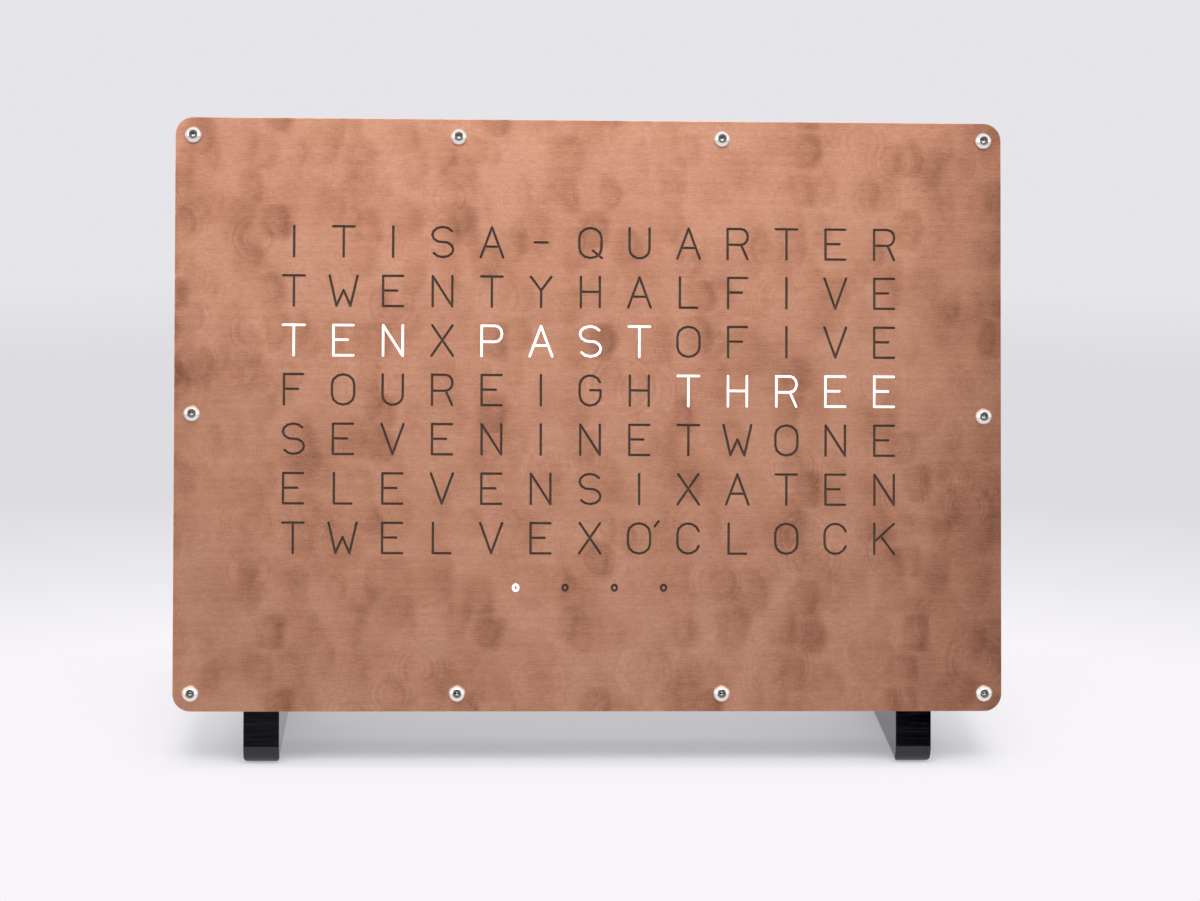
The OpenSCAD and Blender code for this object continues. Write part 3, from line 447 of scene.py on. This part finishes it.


# ---- Diffuser sheet -----------------------------------------------------------------------------
# Three millimetres of smoky diffusing acrylic, bonded behind the copper, which spreads each lamp
# over its cell. It looks nearly black where its lamp is off. It is cut along the cells' edges
# here, so that the cells with a lit lamp glow with painted light of their own, for the lamp behind.
sheet_t = 3 * mm
sheet_gap = 0.02 * mm
sheet_bm = rounded_sheet(-face_t - sheet_t, -face_t - sheet_gap)
rightward, upward = Vector((1, 0, 0)), Vector((0, 1, 0))
grid_corner = cell_middle(0, 0) + (upward - rightward) * pitch / 2


def score_sheet(lines, first, step, across):
    """Cuts the sheet's faces along lines a step apart."""
    for i in range(lines):
        bmesh.ops.bisect_plane(sheet_bm, geom=sheet_bm.verts[:] + sheet_bm.edges[:] + sheet_bm.faces[:],
                               plane_co=first + i * step, plane_no=across)


score_sheet(columns + 1, grid_corner, pitch * rightward, rightward)
score_sheet(rows + 2, grid_corner, -pitch * upward, upward)
score_sheet(minutes + 1, cell_middle(rows, -0.5, minutes), pitch * rightward, rightward)
lit_middles = [cell_middle(r, c) for r, c in lit_cells]
lit_middles += [cell_middle(rows, m, minutes) for m in range(lit_minutes)]
for face in sheet_bm.faces:
    middle = face.calc_center_median()
    if face.normal.z > flat_enough and any(max(abs(middle.x - lit.x), abs(middle.y - lit.y)) < pitch / 2
                                           for lit in lit_middles):
        face.material_index = 1
diffuser = finish_mesh("diffuser", sheet_bm, on_face, smooth=15)

smoky = Finish("smoky_acrylic", (0.075, 0.055, 0.042), 0.45)
cloud = smoky.noise(smoky.place, 160, detail=3)
smoky.colour(smoky.mix(cloud, (0.06, 0.043, 0.032), (0.095, 0.074, 0.055)))
smoky.bump(cloud, 0.02 * mm, 0.4)
# The lit cells' glow is painted light, given off by the sheet itself
glow = Finish("lit_acrylic", (0.9, 0.9, 0.88), 0.5, Emission_Strength=1.25,
              Emission_Color=(1.0, 0.99, 0.97, 1))
diffuser.data.materials.append(smoky.material)
diffuser.data.materials.append(glow.material)
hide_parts("diffuser_sheet")
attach(diffuser, "clock")


# ---- Feet ---------------------------------------------------------------------------------------
# Cast acrylic blocks, polished until they mirror the table. The saw's lines still show faintly
# across them, and a few hairline scratches run along.
gloss = Finish("polished_black", (0.005, 0.005, 0.006), 0.07)
gloss.soften(0.4 * mm)
hairline = gloss.noise(gloss.stretched(gloss.place, (900, 60, 60)))
saw_lines = gloss.noise(gloss.stretched(gloss.place, (40, 40, 500)))
haze = gloss.noise(gloss.place, 45, detail=3)
scratched = gloss.ramp(hairline, [(0.62, 0.0), (0.72, 0.12)])
gloss.join(gloss.math("MULTIPLY_ADD", haze, 0.12, third=scratched), gloss.surface.inputs["Roughness"])
gloss.colour(gloss.mix(haze, (0.003, 0.003, 0.004), (0.008, 0.008, 0.010)))
gloss.bump(saw_lines, 0.05 * mm)
gloss.bump(hairline, 0.002 * mm)


def repaint(finish, *names):
    """Gives CAD nodes that keep their shape a finished material."""
    for name in names:
        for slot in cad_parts[name].material_slots:
            slot.material = finish.material


repaint(gloss, "foot_left", "foot_right")


# ---- Case ---------------------------------------------------------------------------------------
# A moulded frame and a flat back plate in black plastic with a fine spark texture. The light grid,
# the board that carries the strips and the small black parts inside are of the same plastic.
def moulded(name, low, high, gloss_low=0.38, gloss_high=0.55):
    """Plastic out of a spark-eroded mould: a fine grain and a slow drift in tone and gloss."""
    finish = Finish(name, low, gloss_low)
    finish.soften(0.25 * mm)
    spark = finish.noise(finish.place, 2600)
    wear = finish.noise(finish.place, 30, detail=4)
    finish.colour(finish.mix(wear, low, high))
    finish.roughness(finish.math("ADD", wear, spark), spread=(gloss_high - gloss_low) / 2, least=gloss_low)
    finish.bump(spark, 0.04 * mm, 0.5)
    return finish


black_moulding = moulded("black_moulding", (0.018, 0.018, 0.02), (0.03, 0.03, 0.033))
repaint(black_moulding, "case_frame", "back_plate", "light_grid", "led_carrier", "clock_chip", "cell_holder")


# ---- Screws -------------------------------------------------------------------------------------
# Stainless button heads with hexagon sockets, turned, tumbled bright and driven with a key. The
# sockets' walls carry painted shade, a dark grey-brown, except for the drill's point in the middle.
head_flat = 0.53                   # as a share of the head's radius, as the hexagon is
hex_af = 0.76
head_rim = 0.25                    # as a share of the head's height, as the socket's depth is
hex_depth = 0.63
dome_steps = 8
edge_in, edge_up = 0.1, 0.08       # the small break of a head's lower edge
tip_break = 0.3
drill_share = 0.6
drill_depth = 0.25
mouth_depth = 0.3
mouth_out = 0.42
clear_above = 0.1
shade_reach = 0.3                     # how far the painted shade reaches round the socket
shade_below, shade_short = 0.02, 0.01  # how far under its floor, and short of the head's top
steel = Finish("bright_stainless", (0.82, 0.81, 0.8), 0.16, metallic=1.0)
tool_marks = steel.noise(steel.place, 700)
stain = steel.noise(steel.place, 90, detail=3)
steel.roughness(tool_marks, spread=0.12, least=0.12)
steel.colour(steel.mix(stain, (0.74, 0.73, 0.72), (0.88, 0.87, 0.86)))
steel.bump(tool_marks, 0.002 * mm, 0.4)
# Painted shade for the recessed socket: a dark grey-brown steel
socket_shade = Finish("punched_socket", (0.1, 0.09, 0.075), 0.4, metallic=0.4)
shade_grain = socket_shade.noise(socket_shade.place, 1500, detail=3)
socket_shade.colour(socket_shade.mix(shade_grain, (0.12, 0.105, 0.083), (0.28, 0.245, 0.2)))
socket_shade.bump(shade_grain, 0.004 * mm)


def spun(profile, steps=40):
    """A profile of (radius, height) in millimetres, spun round Z into a closed mesh."""
    bm = bmesh.new()
    points = [bm.verts.new((r * mm, 0, z * mm)) for r, z in profile]
    edges = [bm.edges.new(pair) for pair in zip(points, points[1:])]
    bmesh.ops.spin(bm, geom=points + edges, cent=(0, 0, 0), axis=(0, 0, 1), dvec=(0, 0, 0),
                   angle=math.radians(360), steps=steps, use_merge=True)
    bmesh.ops.remove_doubles(bm, verts=bm.verts, dist=0.001 * mm)
    bmesh.ops.recalc_face_normals(bm, faces=bm.faces)
    return bm


def hexagon(radius, height, middle):
    """A six-sided bar in millimetres, from corner to corner twice its radius."""
    bm = bmesh.new()
    bmesh.ops.create_cone(bm, cap_ends=True, segments=6, radius1=radius * mm, radius2=radius * mm,
                          depth=height * mm, matrix=Matrix.Translation((0, 0, middle * mm)))
    return bm


def button_screw(r, length, head_r, head_h):
    """One screw whose head stands on Z 0, with its shank below."""
    flat_r = head_r * head_flat
    rim_h = head_h * head_rim
    drop = ((head_r ** 2 - flat_r ** 2) / (head_h - rim_h) - head_h - rim_h) / 2
    dome_r = math.hypot(head_r, drop + rim_h)
    rim, top = math.asin((drop + rim_h) / dome_r), math.asin((drop + head_h) / dome_r)
    dome = [rim + (top - rim) * i / dome_steps for i in range(dome_steps + 1)]
    head = spun([(0, -length), (r - tip_break, -length), (r, -length + tip_break), (r, 0),
                 (head_r - edge_in, 0), (head_r, edge_up)]
                + [(dome_r * math.cos(t), dome_r * math.sin(t) - drop) for t in dome] + [(0, head_h)])
    floor = head_h * (1 - hex_depth)
    socket_r = head_r * hex_af / 2 / math.cos(math.radians(30))
    key = hexagon(socket_r, head_h, floor + head_h / 2)
    above_floor, above_head = floor + clear_above, head_h + clear_above
    drill = spun([(0, floor - drill_depth), (drill_share * socket_r, above_floor), (0, above_floor)],
                 steps=24)
    mouth = spun([(0, head_h - mouth_depth), (socket_r - edge_in, head_h - mouth_depth),
                  (socket_r + mouth_out, above_head), (0, above_head)])
    mesh = combined([finish_mesh("head", head), finish_mesh("key", key), finish_mesh("drill", drill),
                     finish_mesh("mouth", mouth)], "DIFFERENCE")
    # The socket's faces, all but the drill's point, take the painted shade
    shade_low, shade_high = (floor - shade_below) * mm, (head_h - shade_short) * mm
    for face in mesh.polygons:
        reach = math.hypot(face.center.x, face.center.y)
        if reach < (socket_r + shade_reach) * mm and shade_low < face.center.z < shade_high:
            face.material_index = 1
    return mesh


def screws(node, mesh, places):
    """The screws that stand for one node, each at its place on the leaning face."""
    piece = finish_mesh("bright_" + node, copies(mesh, [on_face @ place for place in places]))
    piece.data.materials.append(steel.material)
    piece.data.materials.append(socket_shade.material)
    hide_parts(node)
    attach(piece, "clock")


def rearward(x, y, depth):
    """A place whose Z points out of the back, this far behind the face's front."""
    return Matrix.Translation((x, y, -depth)) @ Matrix.Rotation(math.pi, 4, "Y")


case_d = 35 * mm
pillar_x = 90 * mm
grid_edge = 0.8 * mm
pillar_margin = 5.4 * mm
foot_x = 110.5 * mm
foot_seat = 45 * mm
foot_screw_heights = (24 * mm, 58 * mm)
pillar_low = letters_top - (rows + 1) * pitch - grid_edge - pillar_margin
pillar_high = letters_top + grid_edge + pillar_margin
m3_face = button_screw(r=1.45, length=12, head_r=2.85, head_h=1.64)
m3_back = button_screw(r=1.45, length=10, head_r=2.85, head_h=1.65)
m3_pillar = button_screw(r=1.45, length=9, head_r=2.85, head_h=1.65)
m4_foot = button_screw(r=1.95, length=16.2, head_r=3.5, head_h=2.2)
screws("face_screws", m3_face, [Matrix.Translation((x, y, 0)) for x, y in screw_places])
screws("back_screws", m3_back, [rearward(x, y, case_d) for x, y in screw_places])
screws("pillar_screws", m3_pillar, [rearward(x, y, case_d) for x in (-pillar_x, 0, pillar_x)
                                    for y in (pillar_low, pillar_high)])
screws("foot_screws", m4_foot, [rearward(x, y, foot_seat) for x in (-foot_x, foot_x)
                                for y in foot_screw_heights])
repaint(steel, "carrier_screws", "foot_nuts", "power_socket_nut")


# ---- Setting buttons ----------------------------------------------------------------------------
# Two momentary switches: a red moulded body inside the case, a nickel-plated neck with a fine
# thread through the back plate, a hexagon nut outside, and a black plunger that is pressed in.
controls_h = 25 * mm
back_inside = 32 * mm
hour_x = -30 * mm
minute_x = -52 * mm
body_r, body_h = 5.0, 9.5
neck_r, neck_top = 3.5, 8.0
thread_step = 0.5
thread_depth = 0.28
lead_in = 0.5
neck_break = 0.2
bore_r = 2.55
spring_r = 3.4                     # the wider room that the plunger's spring takes
spring_top, spring_floor = -2.0, -6.4
tag_w, tag_t = 1.8, 0.5
tag_sunk = 0.2
red_moulding = moulded("red_moulding", (0.42, 0.03, 0.022), (0.5, 0.045, 0.03), 0.3, 0.45)
nickel = Finish("nickel_plate", (0.66, 0.64, 0.6), 0.22, metallic=1.0)
plating = nickel.noise(nickel.place, 900)
nickel.colour(nickel.mix(plating, (0.58, 0.56, 0.52), (0.7, 0.68, 0.64)))
nickel.roughness(plating, spread=0.15, least=0.15)
nickel.bump(plating, 0.002 * mm, 0.4)


def threaded(r, low, high):
    """The outline of a thread, as rings a step apart."""
    crests = int((high - low) / thread_step)
    return [point for i in range(crests) for point in ((r, low + (i + 0.25) * thread_step),
                                                       (r - thread_depth, low + (i + 0.75) * thread_step))]


def add_tags(bm, apart, body_end, length):
    """Two flat tags to solder to, one on each side of the middle, below the end of a body."""
    for side in (-apart, apart):
        middle = Matrix.Translation((side * mm, 0, (tag_sunk - body_end - length / 2) * mm))
        size = Matrix.Diagonal((tag_w * mm, tag_t * mm, length * mm, 1))
        bmesh.ops.create_cube(bm, size=1, matrix=middle @ size)


for node, x in (("hour_button_body", hour_x), ("minute_button_body", minute_x)):
    bm = spun([(0, -body_h), (body_r - neck_break, -body_h), (body_r, neck_break - body_h), (body_r, 0),
               (neck_r - thread_depth, 0)]
              + threaded(neck_r, low=0.2, high=neck_top - 0.3)
              + [(neck_r - lead_in, neck_top), (bore_r + neck_break, neck_top),
                 (bore_r, neck_top - neck_break), (bore_r, spring_top), (spring_r, spring_top),
                 (spring_r, spring_floor), (0, spring_floor)], steps=48)
    add_tags(bm, apart=2.5, body_end=body_h, length=4.2)
    for face in bm.faces:
        middle = face.calc_center_median()
        face.material_index = 1 if middle.z > 0 or middle.z < -body_h * mm else 0
    body = finish_mesh("threaded_" + node, bm, on_face @ rearward(x, controls_h, back_inside))
    body.data.materials.append(red_moulding.material)
    body.data.materials.append(nickel.material)
    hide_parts(node)
    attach(body, "clock")

nut_af, nut_t = 10.0, 2.0
corner_in, corner_out = 0.5, 0.1   # where the lathe starts on a face, and where it leaves the corners
turned_h = 0.35
thread_gap = 0.05
hole_out = 0.4
cut_past = 1.0
nut_r = nut_af / 2 / math.cos(math.radians(30))
lathe = spun([(0, 0), (nut_r - corner_in, 0), (nut_r + corner_out, turned_h),
              (nut_r + corner_out, nut_t - turned_h), (nut_r - corner_in, nut_t), (0, nut_t)], steps=60)
turned_nut = combined([finish_mesh("blank", hexagon(nut_r, nut_t, nut_t / 2)), finish_mesh("lathe", lathe)],
                      "INTERSECT")
nut_hole_r = neck_r + thread_gap
hole = spun([(0, -cut_past), (neck_r + hole_out, -cut_past), (nut_hole_r, turned_h),
             (nut_hole_r, nut_t - turned_h), (neck_r + hole_out + cut_past - turned_h, nut_t + cut_past),
             (0, nut_t + cut_past)], steps=48)
turned_nut = combined([finish_mesh("turned", copies(turned_nut, [Matrix()])), finish_mesh("hole", hole)],
                      "DIFFERENCE")
for node, x in (("hour_button_nut", hour_x), ("minute_button_nut", minute_x)):
    nut = finish_mesh("turned_" + node, copies(turned_nut, [on_face @ rearward(x, controls_h, case_d)]))
    nut.data.materials.append(nickel.material)
    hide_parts(node)
    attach(nut, "clock")
repaint(black_moulding, "hour_button_plunger", "minute_button_plunger")


# ---- Power socket -------------------------------------------------------------------------------
# A black moulded barrel with a round rim, pushed through the back plate and held by a nut inside.
# A nickel-plated pin stands in its hole, and two tinned tags take the wires.
socket_x = 40 * mm
barrel_r, barrel_l = 4, 9
back_t = 3
rim_r = 5.5
rim_in, rim_up = 0.3, 0.15         # the small break of the rim's edge at the back plate
mouth = 4.5
mouth_break = 0.4
plug_r = 2.85
plug_floor = -4.5
pin_r, pin_foot, pin_top = 1, -5.5, mouth - 1
pin_round = 0.35
pin_hole_r, pin_hole_floor = 0.45, pin_top - 2
bm = spun([(0, -barrel_l), (barrel_r, -barrel_l), (barrel_r, back_t), (rim_r - rim_in, back_t),
           (rim_r, back_t + rim_up), (rim_r, mouth - mouth_break), (rim_r - mouth_break, mouth),
           (plug_r + mouth_break, mouth), (plug_r, mouth - mouth_break), (plug_r, plug_floor),
           (0, plug_floor)], steps=48)
moulded_faces = len(bm.faces)
pin = spun([(0, pin_foot), (pin_r, pin_foot), (pin_r, pin_top - pin_round), (pin_r - pin_round, pin_top),
            (pin_hole_r, pin_top), (pin_hole_r, pin_hole_floor), (0, pin_hole_floor)], steps=32)
pin_mesh = bpy.data.meshes.new("pin")
pin.to_mesh(pin_mesh)
copies(pin_mesh, [Matrix()], bm)
add_tags(bm, apart=2, body_end=barrel_l, length=3.7)
bm.faces.ensure_lookup_table()
for face in bm.faces[moulded_faces:]:
    face.material_index = 1
socket = finish_mesh("moulded_power_socket", bm, on_face @ rearward(socket_x, controls_h, back_inside))
socket.data.materials.append(black_moulding.material)
socket.data.materials.append(nickel.material)
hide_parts("power_socket")
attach(socket, "clock")


# ---- Lamps and wires ----------------------------------------------------------------------------
# White film strips with a square lamp to each letter, and silicone-covered wires soldered between
# them. A rubber ring keeps the supply wires off the board's edge.
film_white = moulded("white_film", (0.78, 0.78, 0.75), (0.86, 0.86, 0.84), 0.3, 0.5)
red_cover = moulded("red_wire_cover", (0.5, 0.03, 0.02), (0.6, 0.05, 0.03), 0.4, 0.6)
black_cover = moulded("black_wire_cover", (0.02, 0.02, 0.022), (0.04, 0.04, 0.042), 0.4, 0.6)
soft_rubber = moulded("soft_rubber", (0.02, 0.02, 0.02), (0.045, 0.043, 0.04), 0.6, 0.85)
repaint(film_white, *["led_strip_%d" % (row + 1) for row in range(rows)], "minute_led_strip")
repaint(red_cover, "strip_links", "minute_lead", "power_lead")
repaint(black_cover, "led_lead", "button_leads")
repaint(soft_rubber, "lead_grommet")


# ---- Inserts and pillars ------------------------------------------------------------------------
# Turned brass: knurled inserts melted into the frame's bosses, and six hexagon pillars that hold
# the strips' board off the back plate.
brass = Finish("turned_brass", (0.62, 0.42, 0.16), 0.28, metallic=1.0)
lathe_lines = brass.noise(brass.face_place((300, 300, 4000)))
tarnish = brass.noise(brass.place, 120, detail=3)
brass.colour(brass.mix(tarnish, (0.5, 0.32, 0.11), (0.68, 0.48, 0.2)))
brass.roughness(lathe_lines, spread=0.2, least=0.2)
brass.bump(lathe_lines, 0.005 * mm)
repaint(brass, "face_inserts", "back_inserts", "carrier_pillars")


# ---- Controller ---------------------------------------------------------------------------------
# A green board with a blue module on it, nylon supports, sockets and plugs, a steel coin cell in
# its holder and a capacitor in a blue sleeve.
def lacquered(name, low, high):
    """A board under solder mask, over the faint relief of its tracks."""
    finish = Finish(name, low, 0.3)
    tracks = finish.node("TexBrick", {"Vector": finish.face_place(), "Scale": 180.0, "Mortar Size": 0.012},
                         offset=0.37).outputs["Fac"]
    cloth = finish.noise(finish.place, 1400)
    finish.colour(finish.mix(finish.math("MULTIPLY", tracks, 0.6), low, high))
    finish.roughness(cloth, spread=0.15, least=0.25)
    finish.bump(tracks, 0.03 * mm)
    return finish


repaint(lacquered("green_board", (0.012, 0.085, 0.035), (0.03, 0.16, 0.07)), "controller_board")
repaint(lacquered("blue_module", (0.008, 0.03, 0.12), (0.02, 0.06, 0.2)), "controller_module")
natural_nylon = moulded("natural_nylon", (0.74, 0.72, 0.64), (0.82, 0.8, 0.74), 0.35, 0.5)
repaint(natural_nylon, "board_clips", "lead_sockets", "lead_plugs")
repaint(moulded("blue_sleeve", (0.012, 0.03, 0.16), (0.02, 0.045, 0.22), 0.18, 0.3), "smoothing_capacitor")
cell_case = Finish("rolled_steel", (0.6, 0.6, 0.58), 0.3, metallic=1.0)
rolling = cell_case.noise(cell_case.face_place((60, 2500, 60)), detail=3)
cell_case.colour(cell_case.mix(rolling, (0.52, 0.52, 0.5), (0.68, 0.68, 0.66)))
cell_case.roughness(rolling, spread=0.2, least=0.2)
cell_case.bump(rolling, 0.003 * mm)
repaint(cell_case, "coin_cell")


# ---- Floor and light ----------------------------------------------------------------------------
# A white table, its seen light painted brightest near the clock and falling to a pale grey further
# back. A soft lamp hangs over the front, and a wide softbox stands on each side.
bm = bmesh.new()
bmesh.ops.create_circle(bm, cap_ends=True, segments=64, radius=12)
floor = finish_mesh("floor", bm)
white = (0.87, 0.865, 0.885)
bright_white = (0.94, 0.915, 0.95)
dull_white = (0.83, 0.825, 0.86)
near_grey = (0.725, 0.72, 0.755)
far_grey = (0.79, 0.785, 0.82)
footprint = (140 * mm, 52.7 * mm)  # half the clock's width and depth
footprint_edge = 0.25              # where that edge falls on the ramp of the shadow


def backdrop_rays(finish):
    """1 for the rays that see the backdrop, and 0 for those that light the clock."""
    seen = finish.node("LightPath").outputs
    either = finish.math("ADD", seen["Is Camera Ray"], seen["Is Glossy Ray"])
    return finish.math("ADD", either, seen["Is Transmission Ray"], clamp=True)


table = Finish("white_table", white, 0.8)
spread = table.node("Mapping", {"Vector": table.place, "Location": (0, 0.05, 0),
                                "Scale": (0.6, 1, 0)}).outputs[0]
# Painted light: the paper is brightest near the clock and greyer further back
tone = table.ramp(table.length(spread), [(0.18, bright_white), (0.27, dull_white), (0.4, near_grey),
                                         (0.75, near_grey), (1.0, far_grey)])
paper = table.node("Emission", {"Color": tone})

# Under the clock the paper's own light counts for less, so the clock's shadow shows
sideways, along, _ = table.parts(table.place)
beside, before = [table.math("MULTIPLY", table.math("ABSOLUTE", way), footprint_edge / half)
                  for way, half in ((sideways, footprint[0]), (along, footprint[1]))]
outside = table.ramp(table.math("MAXIMUM", beside, before),
                     [(0.19, 0.32), (0.235, 0.46), (0.265, 0.8), (0.3, 0.95), (0.5, 1.0)], "EASE")
fade = table.math("MULTIPLY", outside, backdrop_rays(table))
blend = table.node("MixShader", {0: fade, 1: table.surface.outputs[0], 2: paper.outputs[0]})
table.join(blend.outputs[0], table.nodes["Material Output"].inputs["Surface"])
floor.data.materials.append(table.material)

# The room: a plain white tent, pale grey where the camera sees it. For reflections it has a dark
# gap low in front, where the camera stands, and one low on each side.
room = bpy.data.worlds.new("studio")
bpy.context.scene.world = room
room.use_nodes = True


def room_node(kind, inputs=(), **settings):
    made = room.node_tree.nodes.new("ShaderNode" + kind)
    for key, value in settings.items():
        setattr(made, key, value)
    for key, value in dict(inputs).items():
        if isinstance(value, bpy.types.NodeSocket):
            room.node_tree.links.new(value, made.inputs[key])
        else:
            made.inputs[key].default_value = value
    return made


rays = room_node("LightPath").outputs
direction = room_node("TexCoord").outputs["Generated"]
across, deep, high = room_node("SeparateXYZ", {0: direction}).outputs


def part_of(value, start, end, most):
    """Nothing where value is at start, rising smoothly to most at end."""
    return room_node("MapRange", {"Value": value, "From Min": start, "From Max": end, "To Max": most},
                     interpolation_type="SMOOTHSTEP").outputs["Result"]


def less(level, part):
    return room_node("Math", {0: level, 1: part}, operation="SUBTRACT").outputs[0]


def both(one, other):
    return room_node("Math", {0: one, 1: other}, operation="MULTIPLY").outputs[0]


tent_level = 1.06
front_gap = both(part_of(deep, -0.80, -0.95, 1.0), part_of(high, 0.36, 0.15, 0.95))
low_down = part_of(high, 0.55, 0.15, 1.0)
right_gap = both(less(part_of(across, 0.10, 0.26, 0.95), part_of(across, 0.38, 0.6, 0.95)), low_down)
left_gap = both(less(part_of(across, -0.02, -0.22, 0.6), part_of(across, -0.38, -0.6, 0.6)), low_down)
level = less(less(less(tent_level, front_gap), right_gap), left_gap)
lighting = room_node("Background", {"Color": (0.95, 0.97, 1.0, 1), "Strength": 0.78})
reflected = room_node("Background", {"Color": (1, 0.99, 0.98, 1), "Strength": level})
seen = room_node("Background", {"Color": (*far_grey, 1)})
shown = room_node("MixShader", {0: rays["Is Glossy Ray"], 1: lighting.outputs[0], 2: reflected.outputs[0]})
shown = room_node("MixShader", {0: rays["Is Camera Ray"], 1: shown.outputs[0], 2: seen.outputs[0]})
room.node_tree.links.new(shown.outputs[0], room.node_tree.nodes["World Output"].inputs["Surface"])


def lamp(name, place, size, power, target=(0, 0, 0.05)):
    light = bpy.data.lights.new(name, "AREA")
    light.shape = "RECTANGLE"
    light.size, light.size_y = size
    light.energy = power
    lamp_object = bpy.data.objects.new(name, light)
    aim = (Vector(target) - Vector(place)).to_track_quat("-Z", "Y")
    lamp_object.matrix_world = Matrix.Translation(place) @ aim.to_matrix().to_4x4()
    bpy.context.collection.objects.link(lamp_object)


lamp("overhead", place=(0, -0.7, 1.2), size=(0.9, 0.5), power=6.5)
lamp("left_softbox", place=(-1.6, -1.1, 0.8), size=(1.6, 1.2), power=8)
lamp("right_softbox", place=(1.6, -1.1, 0.8), size=(1.6, 1.2), power=6)


# ---- Camera -------------------------------------------------------------------------------------
# It looks almost square at the leaning face, from a little left of its middle and below it.
lens = 90
sensor_w = 36
from_middle = Vector((-44.1, -39.0, 1013.0)) * mm
turn = Vector((0.0266087, -0.0468582, 0.0027678))
camera = bpy.data.objects.new("camera", bpy.data.cameras.new("camera"))
camera.data.lens = lens
camera.data.sensor_width = sensor_w
camera.data.clip_start = 0.05
camera.data.clip_end = 30
camera.matrix_world = (on_face @ Matrix.Translation((0, face_h / 2, 0)) @ Matrix.Translation(from_middle)
                       @ Matrix.Rotation(turn.length, 4, turn))
bpy.context.collection.objects.link(camera)
bpy.context.scene.camera = camera
bpy.context.scene.view_settings.view_transform = "Standard"
